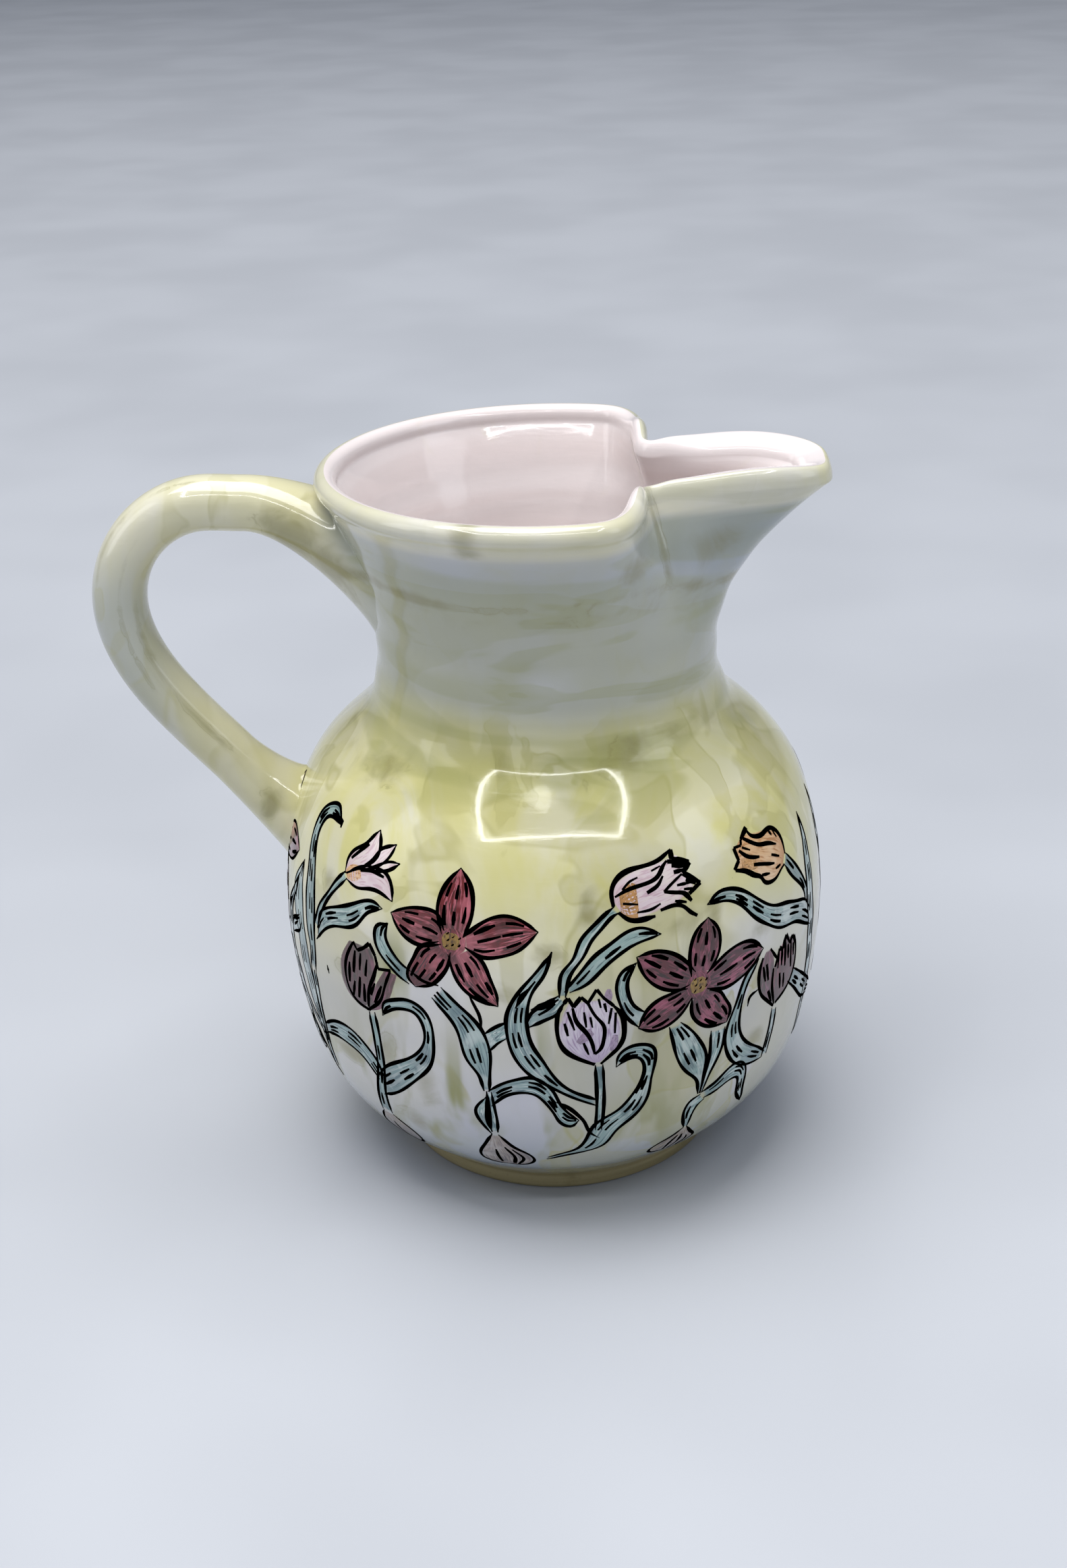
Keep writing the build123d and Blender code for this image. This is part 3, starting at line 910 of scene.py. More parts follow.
    def dashes(self, left, right, lanes, ranks, width):
        """Short blunt strokes along a petal, in ranks from its base to its tip."""
        a, b, gap = both_edges(left, right)
        for rank in range(ranks):
            for lane in np.linspace(-0.62, 0.62, lanes):
                start = 0.14 + 0.74 * (rank + self.chance.uniform(-0.06, 0.22)) / ranks
                stop = start + 0.74 * self.chance.uniform(0.5, 0.8) / ranks
                rows = (np.array([start, (start + stop) / 2, stop]) * (EDGE_POINTS - 1)).astype(int)
                if gap[rows[0]] > 1.7 * lanes and (abs(lane) < 0.5 or gap[rows[2]] > 3.4):
                    self.strokes(width, between(a, b, rows, lane))

    def leaf(self, left, right, bleed=0.3, width=BRUSH):
        """A long leaf or stem: a pale wash, its two edges, and broken dashes along its middle."""
        tone = self.chance.uniform(0, 1)
        self.wash(left, right, "leaf", bleed, tone)
        self.brush(left, width)
        self.brush(right, width)
        a, b, gap = both_edges(left, right)
        reach = np.linalg.norm(np.diff((a + b) / 2 * PAINT_SCALE, axis=0), axis=1).sum()
        pieces, end = int(reach / DASH_SPACING), EDGE_POINTS - 1
        for k in range(pieces):
            first = int((k + 0.25 + self.chance.uniform(0, 0.2)) / pieces * end)
            last = min(first + max(3, int(DASH_LENGTH / reach * end)), end)
            if gap[first] <= 2.2:
                continue
            if gap[first] < 4:
                lanes = (0.18,) if k % 2 else (-0.18,)
            else:
                lanes = (-0.45, 0.1) if k % 2 else (-0.1, 0.45)
            for lane in lanes:
                self.strokes(1.05 * width, between(a, b, (first, (first + last) // 2, last), lane))

    def petal(self, left, right, layer, lanes=3, bleed=0.4, width=BRUSH, ranks=1):
        """A petal: its colour, both edges from base to tip, and strokes inside."""
        self.wash(left, right, layer, bleed, self.chance.uniform(0, 1))
        self.brush(left, width)
        self.brush(right, width)
        self.dashes(left, right, lanes, ranks, 1.15 * width)

    def heart(self, middle, size, layer):
        """The small round middle of a star flower, with seven seed dots."""
        turn = np.linspace(0, pi, 7)
        half_ring = np.stack([np.sin(turn), -np.cos(turn)], -1) * size / PAINT_SCALE
        self.wash(middle + half_ring, middle + half_ring * [-1, 1], layer, 0.5, lift=0.03)
        for k in range(7):
            t = 2 * pi * k / 7 + 0.4
            away = size * (0.45 if k % 2 else 0.9)
            spot = middle + np.array([cos(t), sin(t)]) * away / PAINT_SCALE
            self.brush([spot, spot + [0.35, 0.2], spot + [0.5, 0.6]], 0.75, 0.7, 0.7)

    def make(self, materials):
        """Turns each layer of the plant into one mesh with its paint."""
        for layer, kept in self.layers.items():
            points, normals = np.concatenate(kept["points"]), np.concatenate(kept["normals"])
            values = {label: np.concatenate(numbers) for label, numbers in kept["values"].items()}
            if layer != "outline":
                values |= ground_tints(points)
            make_piece(f"{self.name}_{layer}", points, kept["faces"], materials[layer], normals,
                       values)


def paint(name, main, light, dark, strength, ground=None):
    """A brushed underglaze colour, dark where it pools at a petal's foot, that thins out at its edges."""
    shader = glazed_shader(name)
    main, light, dark = rgb(*main), rgb(*light), rgb(*dark)
    lane = shader.tree.nodes.new("ShaderNodeCombineXYZ")
    for axis, (label, scale) in enumerate((("along", 1.6), ("across", 2.4), ("tone", 40.0))):
        shader.put(lane.inputs[axis], shader.attribute(label, scale))
    pale = shader.math("MULTIPLY", shader.ramp(shader.noise(2.2, 4, 0.3, lane.outputs[0]), 0.48, 0.6),
                       shader.ramp(shader.attribute("tone"), 0.1, 0.9, 0.2, 0.95))
    foot = shader.ramp(shader.attribute("along"), 0.4, 0.05, 0, 0.6)
    deep = shader.ramp(shader.noise(3.1, 3, 0.2, lane.outputs[0]), 0.5, 0.62)
    colour = shader.mix(shader.math("MAXIMUM", deep, foot), shader.mix(pale, main, light), dark)

    # Watery light and dark patches, where the brush was wet
    colour = shader.mix(shader.ramp(shader.noise(120, 2, 0.6), 0.52, 0.66, 0, 0.55), colour, light)
    wet = shader.noise(95, 2, 0.5, shader.stretch(1, 1, 1, (1, 0, 0)))
    colour = shader.mix(shader.ramp(wet, 0.54, 0.68, 0, 0.7), colour, dark)

    cover = shader.math("MULTIPLY_ADD", shader.noise(190, 3, 0.5), 0.7, shader.attribute("edge"))
    cover = shader.ramp(cover, 0.35, 0.9, 0, strength)
    return shader.finish(shader.mix(cover, ground or sponged_glaze(shader), colour), glaze_bumps(shader))


def outline_paint():
    shader = glazed_shader("black_outline_paint", 0.16)
    thin = shader.noise(420, 3, 0.4)
    colour = shader.mix(shader.ramp(thin, 0.45, 0.75), rgb(14, 14, 20), rgb(44, 48, 62))
    return shader.finish(colour, glaze_bumps(shader))


def star(plant, middle, petals, layer):
    """A five-petalled flower with a seeded heart."""
    x, y = middle
    plant.wash([(x, y - 4.5), (x + 3, y - 2), (x + 3.2, y + 2), (x, y + 4.5)],
               [(x, y - 4.5), (x - 3, y - 2), (x - 3.2, y + 2), (x, y + 4.5)], layer, 0.3)
    for left, right in petals:
        plant.petal(left, right, layer, 3, 0.45, 1.15, 2)
    plant.heart(middle, 2.4, "heart")


def crimson_star(plant):
    top = [(-113, 23), (-114.2, 29), (-113.8, 33), (-112.3, 37), (-110, 40.5)]
    star(plant, (-111, 21.5), [
        (top, [(-108.5, 23), (-107, 28), (-106.7, 32), (-107.8, 37), (-110, 40.5)]),
        ([(-108.5, 23), (-106, 26), (-103, 28.6), (-100, 29.6), (-97, 28.8), (-93.3, 25.7)],
         [(-108, 20.5), (-105, 18.6), (-101, 18.9), (-97, 21), (-93.3, 25.7)]),
        ([(-111.5, 18), (-110.3, 13), (-108.6, 9.5), (-106, 7), (-101.4, 5.2)],
         [(-107.5, 20), (-105, 18), (-103, 13), (-101.6, 8), (-101.4, 5.2)]),
        ([(-113.5, 21), (-117.5, 18.5), (-119, 15), (-120.2, 9), (-118.5, 7)],
         [(-111, 18.5), (-111.5, 15), (-113, 11.5), (-115, 8.7), (-118.5, 7)]),
        ([(-112.5, 24), (-114, 27.8), (-118, 28.6), (-121.5, 27.6), (-125, 25.3)],
         [(-113, 20.3), (-117, 19), (-120, 19.5), (-122.7, 21.5), (-125, 25.3)]),
    ], "crimson")
    plant.leaf([(-120, 7.3), (-122.5, 8.8), (-124.5, 10.5), (-127, 13), (-128.6, 17), (-128.2, 20.5),
                (-125.5, 22.3)],
               [(-119.7, 11), (-121.5, 12), (-123.5, 14), (-125.2, 16.5), (-126, 19), (-125.5, 22.3)])
    plant.leaf([(-105.3, -22), (-106, -17), (-108, -13), (-109, -9), (-110, -3), (-112, 1), (-115, 5)],
               [(-104.2, -22), (-103.7, -15), (-103.5, -8), (-105, -2), (-107.5, 2), (-111, 6),
                (-113, 8.5)])
    plant.brush([(-104.8, -2), (-105.2, 2), (-106.2, 5), (-107.3, 8)])
    plant.brush([(-113.5, 8.8), (-117, 9.2), (-119.6, 11)])
    plant.leaf([(-104.5, -3.5), (-102, -1), (-99.5, 1)], [(-103.8, -9), (-101.5, -5.5), (-99.8, -4)])
    plant.leaf([(-82, -27), (-87.5, -23), (-92, -19), (-96, -15), (-98.8, -9), (-99.8, -3), (-99.7, 3),
                (-98, 8), (-94.5, 14), (-90.8, 20)],
               [(-82, -25), (-87.5, -21), (-90.5, -17), (-93, -11), (-95, -6), (-95.9, 0), (-95.7, 5),
                (-94.5, 10), (-92.5, 14), (-90.8, 20)], width=1.15)
    plant.leaf([(-96, 0), (-95, 3.5), (-92, 6.5), (-89.5, 8.7)],
               [(-95.5, -0.5), (-92, 2), (-90, 3.5), (-88.5, 7)])
    plant.brush([(-98, 5), (-96.8, 8), (-95.5, 10.5)], 1.9)
    plant.brush([(-95, 4.6), (-92, 6), (-89.6, 7.6)], 2.0)
    plant.brush([(-92.6, 17), (-91.2, 19), (-90.7, 20.6)], 1.5)


def crimson_star_roots(plant):
    plant.leaf([(-104.5, -22), (-101.5, -19), (-98, -17), (-95, -16.5), (-92.5, -18.5), (-91, -21.5),
                (-90, -25), (-88, -29), (-86, -31.5)],
               [(-104, -27), (-101, -23), (-98, -21.5), (-95, -22), (-92.5, -25.5), (-91, -29),
                (-89.5, -32.5), (-87.5, -33.5), (-86, -31.5)])
    plant.brush([(-90.8, -24.5), (-88.5, -26.5), (-86, -30), (-85, -32), (-83.5, -37), (-81.5, -39.5)])
    plant.leaf([(-104.8, -37), (-104.6, -32), (-104.6, -27), (-104.8, -22)],
               [(-103.4, -37), (-103.2, -32), (-103.5, -27), (-103.8, -22)])
    plant.leaf([(-104.8, -38), (-106.5, -34), (-107.5, -29), (-105, -24)],
               [(-104.6, -37), (-105.3, -33), (-105.3, -29), (-105, -24)])
    plant.petal([(-103, -55.5), (-106, -55), (-108.8, -52.5), (-108.8, -48), (-107.3, -44), (-104.8, -38)],
                [(-103, -55.5), (-99, -55), (-96.3, -51), (-97.3, -47), (-100, -43.8), (-103.4, -38)],
                "bulb", 5)


def pale_tulip_left(plant):
    plant.leaf([(-148.5, 11), (-147, 17), (-144, 22.5), (-142, 26.5), (-139, 31)],
               [(-147.3, 10.5), (-145, 18), (-141, 25.3), (-138.2, 29.3)])
    plant.petal([(-139, 30.5), (-139, 34.5), (-137.5, 37.5), (-135, 40), (-133, 43.5), (-132.2, 44.8)],
                [(-139, 30.5), (-135.5, 33), (-132.5, 35.5), (-130.8, 38), (-130.8, 41), (-132.2, 44.8)],
                "pale", 2)
    plant.petal([(-135, 33), (-132, 37), (-130, 40.5), (-128, 41.8), (-126.6, 42.7)],
                [(-135, 33), (-131, 35), (-128.5, 37.5), (-127.3, 40), (-126.6, 42.7)], "pale", 1)
    plant.petal([(-133, 33.8), (-129.5, 36.5), (-127, 37.9), (-124.5, 38.2)],
                [(-133, 33.5), (-129.5, 34.6), (-127, 35.8), (-124.5, 38.2)], "pale", 1)
    plant.petal([(-138.5, 30.5), (-135, 33.8), (-130.5, 35.2), (-127.5, 34.6), (-125.3, 31),
                 (-124.9, 28.2)],
                [(-138.5, 29.2), (-135, 28.3), (-131, 29.5), (-128, 29.5), (-124.9, 28.2)], "pale", 3)
    plant.wash([(-139, 30.5), (-138.5, 33), (-136.5, 34.5), (-134, 33.5)],
               [(-138.5, 29.8), (-136.5, 28.8), (-134.5, 29.8), (-133.6, 32)], "orange", 0.3)
    plant.leaf([(-146.8, 9), (-146.5, 15), (-144, 18), (-140, 20.5), (-136, 23), (-132.5, 25.5),
                (-129.5, 26.4), (-127.2, 25.5)],
               [(-147.5, 7), (-144, 12), (-141, 14.5), (-136.5, 16.5), (-133.5, 19), (-131, 23),
                (-127.2, 25.5)])


def left_stems(plant):
    plant.leaf([(-150, -33), (-153, -20), (-156, -8), (-158.5, 5), (-161, 15), (-156, 25.5)],
               [(-149.5, -28), (-150.5, -12), (-152.5, 0), (-154.5, 10), (-155.5, 18), (-156, 25.5)],
               width=0.7)
    plant.leaf([(-151, -4), (-150.8, 3), (-152, 8), (-153, 15), (-153.2, 22), (-154.3, 31), (-154.6, 38),
                (-154, 41), (-151, 44.5), (-148, 45), (-146, 43), (-144.5, 41.3)],
               [(-148.8, -4), (-148.5, 5), (-148.8, 12), (-149, 17), (-150, 24), (-151.5, 31), (-152, 38),
                (-150.5, 41), (-147.5, 41.5), (-144.6, 41)])
    plant.brush([(-146, 42.8), (-145, 42), (-144.6, 40.4)], 1.9)
    plant.leaf([(-150.5, -36), (-150.5, -20), (-150.9, -4)], [(-149, -36), (-149, -20), (-148.8, -4)])
    plant.leaf([(-149, -21), (-145, -17.5), (-141, -15.5), (-137, -15.5), (-133.5, -18), (-130.5, -22.5),
                (-129.5, -27)],
               [(-149, -24), (-145, -22), (-140, -21.5), (-136, -22.5), (-133, -25.5), (-131, -28.5)])
    plant.leaf([(-131, -34), (-127, -31), (-123, -26.5), (-119, -21), (-116.5, -16.5), (-115.3, -9),
                (-115.5, -3), (-117.5, 1), (-120.5, 2.3), (-124, 1), (-126.5, -1), (-127, -5)],
               [(-131, -27), (-129, -23.5), (-124, -18.5), (-119.5, -14), (-117.3, -9), (-117.3, -4),
                (-119, -1), (-122, -0.8), (-125, -2.5), (-127, -5)])
    plant.leaf([(-134, -42), (-132.8, -34), (-131.5, -28), (-130.3, -18), (-130.6, -5.5)],
               [(-131, -42), (-130.5, -34), (-129.5, -28), (-128.6, -16), (-129.1, -5)])
    plant.petal([(-131.5, -57), (-135, -56), (-137.5, -52), (-136.5, -47.5), (-134, -42.5)],
                [(-131.5, -57), (-128, -56), (-126.2, -52), (-127.5, -47), (-131, -42.5)], "bulb", 4)
    plant.brush([(-143.6, 1.4), (-143.4, 0.4), (-143, -0.8)])


def plum_tulip(plant):
    plant.wash([(-132, -5), (-136, -3), (-138.4, 1), (-138, 8), (-135.5, 13.5)],
               [(-132, -5), (-129.5, 0), (-128.3, 5), (-128.3, 10), (-130, 14)], "plum", 0.6, 0.2)
    plant.wash([(-131, -5), (-129.5, 0), (-127.5, 5), (-125.5, 9.3)],
               [(-131, -5), (-127.5, -3), (-124.8, 2), (-123, 9.3)], "plum", 0.5, 0.6)
    plant.strokes(1.3, [(-130.7, -5), (-134, -3.8), (-136.3, -0.5), (-137, 4), (-136.2, 9), (-134.7, 13)],
                  [(-130.7, -5), (-127.5, -1), (-126, 4), (-124.6, 9)],
                  [(-130.6, -4), (-130.3, 1), (-128.8, 6), (-127.8, 10.5)])
    plant.teeth((-134.7, 13.2), (-133.3, 11.4), (-131.6, 12.8), (-130.1, 14.8), (-128.5, 12), (-127.6, 8.6),
                (-124.4, 9.4))
    plant.strokes(1.35, [(-135.8, 1), (-135.6, 7)], [(-134.4, 4.5), (-134, 11)],
                  [(-133.2, -2.5), (-132.6, 4)], [(-132.6, 6), (-132.4, 11)], [(-131.6, -3), (-131.5, 2.5)],
                  [(-131, 5), (-130.6, 10)], [(-134.8, -2.5), (-134.2, 2)], [(-129.8, 0), (-128.6, 4)],
                  [(-128.8, -2), (-126.8, 4)])


def pale_tulip_middle(plant):
    plant.leaf([(-89.5, 8), (-88.7, 15), (-86.8, 18), (-85, 23), (-82, 27), (-79, 30), (-77.8, 31)],
               [(-88.3, 8), (-87.3, 14), (-84.5, 19), (-83, 22.5), (-80.5, 26), (-78, 28.8), (-76.8, 29.3)])
    plant.wash([(-77.6, 31), (-77.6, 36), (-74, 39), (-68, 40), (-62, 41)],
               [(-77, 30), (-75, 27.5), (-70, 27.5), (-65, 28.5), (-59.5, 32)], "pale", 0.3, 0.4)
    plant.wash([(-77, 33), (-75, 37), (-73.2, 37.5), (-72.3, 36)],
               [(-77, 30), (-75.2, 27.2), (-73.4, 26.6), (-72.6, 29)], "umber", 0.4, 0.3)
    plant.strokes(1.3,
                  [(-78, 31), (-78.1, 34.5), (-77, 37.3), (-75, 39), (-71, 39.8), (-67, 40.5),
                   (-63.5, 42.4)],
                  [(-77.5, 33.3), (-75, 34.5), (-70.5, 35.4), (-67.5, 36.8), (-66, 39), (-65, 39.9)],
                  [(-70.6, 33), (-68, 34.4), (-66.6, 36.4)],
                  [(-77, 29.3), (-75, 27.2), (-72, 26.6), (-69.4, 26.8)],
                  [(-68.2, 28), (-65.5, 28.5), (-63, 27.5), (-61.5, 25.5), (-60.1, 24.1)],
                  [(-66.9, 32.4), (-64.8, 34), (-62.2, 35.7)],
                  [(-66.9, 32.4), (-64, 31.4), (-62.5, 30.8), (-61, 28.4)])
    plant.teeth((-63.6, 42.4), (-63.8, 40), (-59.9, 38.1), (-62, 35.8), (-58.3, 32.2), (-61.3, 30.3),
                width=1.5)
    plant.strokes(1.6, [(-65, 39.6), (-62, 38.9), (-60.3, 38.2)], [(-64.2, 38.4), (-61, 37.6)],
                  [(-64, 36.6), (-61.8, 36.6)], [(-61.6, 34), (-59.4, 32.4)])
    plant.strokes(1, [(-63.8, 33.2), (-60.8, 33)], [(-62.4, 31.8), (-60.4, 31.4)],
                  [(-73.2, 28.6), (-70, 28.8), (-68, 29.7)], [(-64.8, 29.5), (-62.2, 28.4)],
                  [(-75.8, 34.8), (-74, 36.6), (-72.2, 37.3)], [(-69, 38.2), (-66.8, 39)],
                  [(-76, 31.4), (-72.8, 30.6)])
    plant.leaf([(-88.5, 9.5), (-85, 15), (-82.5, 18.5), (-79, 21.5), (-75.5, 24), (-72.5, 24.4),
                (-68.5, 21.8)],
               [(-87.5, 9.3), (-84.5, 11), (-81, 15), (-78, 18), (-74, 20.5), (-71, 21.3), (-68.5, 21.8)])


def lavender_tulip(plant):
    plant.leaf([(-82.5, -36), (-82.3, -24), (-82.7, -13)], [(-81.2, -36), (-80.9, -24), (-81.2, -13)])
    plant.wash([(-82.6, -12.5), (-86, -10), (-89.6, -5), (-89.6, 2), (-87.6, 7)],
               [(-82.2, -12.5), (-79.5, -9), (-77.4, -4), (-77.6, 1), (-80.5, 7)], "lavender", 0.3, 0.5)
    plant.wash([(-86.8, -6), (-86, -3.6), (-84, -1.2), (-83, -1.5)],
               [(-86.2, -6.4), (-84.5, -5.6), (-83, -4), (-82.6, -2.5)], "purple", 0.2, 0.3)
    plant.wash([(-79.8, -9.5), (-79.8, -6), (-79, -3.4)], [(-79, -9.3), (-78.1, -6.2), (-78.4, -3.4)],
               "purple", 0.2, 0.7)
    plant.wash([(-80.6, 6), (-80.6, 8), (-80, 9.6)], [(-79.6, 5.6), (-79.2, 7.6), (-79.6, 9.6)], "purple",
               0.2, 0.5)
    plant.strokes(1.35,
                  [(-82.8, -12.8), (-86, -10.5), (-89, -7), (-90, -3), (-90, 2), (-89.4, 5), (-88.5, 6.6)],
                  [(-81.6, -12.8), (-79, -9.5), (-77.2, -6), (-76.9, -2), (-77.5, 2), (-79, 4.6)],
                  [(-87, 5), (-86.3, 1), (-84.5, -2.5), (-83.3, -6), (-82.8, -9.4)],
                  [(-84, 6), (-82.5, 2), (-81, -1), (-81, -5), (-82, -8.5), (-82.8, -9.4)])
    plant.teeth((-88.6, 6.4), (-87.8, 7.8), (-86.8, 5.2), (-85.3, 7.9), (-84, 6), (-82.2, 9.6), (-81, 7.3),
                (-79, 4.6))
    plant.strokes(1.1, [(-88.6, 0.6), (-88, -3.2)], [(-88, 4), (-86.7, -1.6)], [(-84.8, 3.6), (-84.4, -1)],
                  [(-83.6, 2), (-83.2, -1.2)], [(-81.9, 7), (-81.5, 4.4)], [(-80.8, 5.6), (-80.4, 3)],
                  [(-79.4, 4), (-80, -0.6)], [(-78.6, 2.5), (-78.8, -3.6)], [(-85, -5.6), (-84, -9.4)])
    plant.leaf([(-93.3, -49.8), (-89, -47.3), (-84, -45.3), (-80.5, -43), (-78, -37.5), (-74, -32),
                (-71.5, -26), (-71, -20), (-70.3, -14), (-71, -10), (-73.5, -8.5), (-76, -8.8), (-78, -11),
                (-78.5, -14.5)],
               [(-93, -48.5), (-89.5, -46), (-86.5, -44), (-84, -38), (-82.5, -33.5), (-78, -29.5),
                (-75, -25), (-73, -20), (-72.7, -15), (-74, -12.5), (-76.5, -12.7), (-78.5, -14.5)])
    plant.leaf([(-74, -3), (-76, 0), (-77.7, 5), (-78.2, 10), (-77, 13.5), (-74, 15.5)],
               [(-72.5, 1), (-74.5, 3), (-76, 7), (-76, 11), (-75, 13.5), (-74, 15.5)])


def plum_star(plant):
    star(plant, (-61, 5), [
        ([(-62.5, 8), (-62.7, 12), (-62.2, 16.5), (-60.2, 20.5), (-57.6, 22.6)],
         [(-58.5, 8), (-56.3, 11), (-55.3, 15), (-55.6, 19), (-57.6, 22.6)]),
        ([(-59, 7.5), (-57, 9), (-54, 11), (-50, 12), (-46.5, 10.8), (-43.5, 7.2)],
         [(-59, 3.2), (-55, 1.5), (-51, 2), (-47, 4), (-43.5, 7.2)]),
        ([(-62.5, 2), (-62.4, -3), (-60.5, -6.8), (-57.5, -9), (-53.7, -9.7)],
         [(-58.5, 2.5), (-56, 1), (-54.2, -2.5), (-53, -6), (-53.7, -9.7)]),
        ([(-63, 6), (-66, 5), (-69.5, 4), (-72.5, 1), (-74, -3.4)],
         [(-62.5, 2), (-64.5, -1.5), (-67.5, -4.2), (-71, -5), (-74, -3.4)]),
        ([(-61.5, 9), (-63.8, 13), (-67, 16.3), (-70.5, 17.5), (-74, 17)],
         [(-63.5, 5), (-66.5, 5.6), (-70, 7.8), (-72.7, 12), (-74, 17)]),
    ], "maroon")
    plant.leaf([(-59.3, -31), (-60, -26), (-62.5, -22), (-65, -17), (-66.5, -10), (-67.5, -5)],
               [(-58.7, -31), (-58.5, -24), (-58.4, -18), (-60, -13), (-62.5, -8), (-65, -4.5)])
    plant.leaf([(-59, -31), (-58.2, -26), (-57.4, -17), (-57.6, -10.5)],
               [(-58.4, -31), (-56.5, -24), (-54.2, -16), (-54, -11)])
    plant.leaf([(-58.5, -31), (-55, -29.5), (-52, -27), (-49, -26), (-46.5, -28), (-45.5, -31), (-45, -36),
                (-43, -45)],
               [(-57.5, -33.5), (-54, -32.5), (-50, -31), (-48.3, -31.5), (-47.5, -34), (-46.5, -39),
                (-43, -45)])
    plant.leaf([(-60.8, -44), (-61.7, -40), (-62, -36), (-61, -33), (-58.5, -31.5)],
               [(-60, -44), (-59.8, -40), (-59.3, -37), (-58.4, -35), (-57.2, -34)])
    plant.petal([(-62, -58), (-65.5, -57), (-67.7, -54), (-66.5, -50.5), (-63, -47), (-60.8, -44)],
                [(-62, -58), (-58, -57.5), (-55, -54), (-57, -49.5), (-59, -46), (-60, -44)], "bulb", 4)


def plum_tulip_right(plant):
    plant.leaf([(-40.5, -30), (-45, -29), (-49.5, -26), (-52, -22), (-53.5, -17), (-53, -10), (-51, -4),
                (-48, 3), (-45, 5)],
               [(-39.5, -28.5), (-42, -25.5), (-45, -22.5), (-48.5, -18), (-50, -13), (-49.8, -6), (-48, 0),
                (-45, 5)])
    plant.brush([(-45, -4.5), (-47.5, -5.5), (-48, -8)])
    plant.leaf([(-40.3, -30), (-39.5, -20), (-39.3, -14)], [(-38.5, -30), (-38, -24), (-37.7, -15)])
    plant.leaf([(-31.5, -6.5), (-27, -11), (-20, -18), (-16, -22)],
               [(-34, -9), (-29, -15), (-24, -21), (-17, -25)])
    plant.wash([(-39.3, -13), (-43, -8), (-44.8, -2), (-44.2, 3), (-42.3, 6)],
               [(-39.3, -13), (-40.3, -7), (-39.7, -1), (-40.2, 3), (-41.6, 6)], "plum", 0.2, 0.9)
    plant.wash([(-39, -13), (-40.2, -6), (-39.6, 0), (-37.6, 4), (-35.2, 6)],
               [(-38, -12.5), (-34, -10), (-31.3, -5), (-31.3, 0), (-33, 4.6)], "maroon", 0.3, 0.1)
    plant.strokes(1.3, [(-39, -13.5), (-42, -9.5), (-44, -6.5), (-44.8, -2), (-44.5, 2), (-43.7, 4.4)],
                  [(-41.2, 5.6), (-40, 3.4), (-38.8, 1.4)], [(-40, -1), (-40.3, -6), (-38.8, -13)],
                  [(-38.4, -13), (-34, -10.5), (-31.3, -5.5), (-31, 0), (-31.8, 4)])
    plant.teeth((-39.4, -1), (-38, 3.8), (-36.8, 3), (-35.2, 6.2), (-34, 3), (-32.6, 4.4), (-31.2, 1.5),
                width=1.5)
    plant.strokes(1.5, [(-43.6, 1.6), (-42.7, -3.4)], [(-42.5, 1.8), (-41.7, -3.6)],
                  [(-41.6, -7), (-40, -11.5)], [(-38.2, 3), (-38.4, -2)], [(-37, 3), (-37, -2)],
                  [(-35.8, 5), (-35.6, -3)], [(-34.6, 3), (-34.3, -1.5)], [(-33.4, 3), (-33, -5)],
                  [(-32.3, 2), (-32, -2)], [(-37.6, -4), (-37.2, -9)], [(-36, -5), (-35.8, -9.5)])


def orange_tulip(plant):
    plant.wash([(-32.3, 27.5), (-32, 33), (-35, 37), (-40, 38.2), (-44, 39.2), (-47.4, 36.6)],
               [(-33, 26), (-36, 23.4), (-40.5, 24.4), (-43, 28), (-46, 30.4), (-48.4, 32)], "orange", 0.4,
               0.3)
    plant.wash([(-41.5, 31.4), (-44, 33.2), (-47.4, 34)], [(-41.5, 29), (-44, 29.6), (-47.6, 31.4)],
               "umber", 0.3, 0.7)
    plant.strokes(1.35,
                  [(-31.9, 28), (-31.8, 32), (-32.8, 35), (-35, 36.9), (-38, 36.6), (-40.5, 37.2),
                   (-42, 38.5), (-42.5, 40.3)],
                  [(-48.8, 31.6), (-46, 30.3), (-43.5, 28), (-41.8, 26.7), (-41, 25), (-39, 23.8),
                   (-36.5, 23.9), (-34.5, 25), (-33, 25.5)],
                  [(-44.3, 38.4), (-42, 36.2), (-40, 34.7), (-37, 33.6), (-34.3, 32)],
                  [(-46.5, 36), (-45, 34), (-43, 32.6), (-41, 31.8)],
                  [(-43.3, 30.7), (-41, 29.8), (-38.5, 28.6), (-36.6, 27.8)])
    plant.teeth((-42.2, 40.5), (-45, 38.4), (-45.5, 37), (-47.7, 37.2), (-47.2, 33.6), (-49, 31.8))
    plant.strokes(1.05, [(-45.4, 36.4), (-43.2, 34.7)], [(-37, 30.4), (-34.3, 28.6)],
                  [(-41.5, 27), (-38.8, 26.1)], [(-36.5, 26.2), (-34.5, 26.3)],
                  [(-34.2, 36), (-33.4, 33.5)], [(-35.6, 36.4), (-34.9, 34.9)])
    plant.leaf([(-25, 9), (-26, 14), (-30, 20), (-33, 25.5)],
               [(-23.5, 12), (-26, 18.5), (-29, 24), (-32, 28.5)])
    plant.leaf([(-23, 6), (-25, 10), (-29, 12.5), (-34, 15), (-39, 17), (-43, 20.5), (-47, 25), (-51, 27.7),
                (-54.5, 28), (-57.5, 26)],
               [(-23, 1.5), (-27, 4.5), (-31, 7.5), (-37, 9.5), (-42, 13.5), (-46, 18), (-49, 22.5),
                (-53, 25.3), (-57.5, 26)])
    plant.leaf([(-22, -36), (-23, -20), (-24, 0), (-24, 12), (-22.5, 24), (-21, 34)],
               [(-20.5, -36), (-20, -20), (-20.5, 0), (-20, 14), (-20, 25), (-21, 34)])


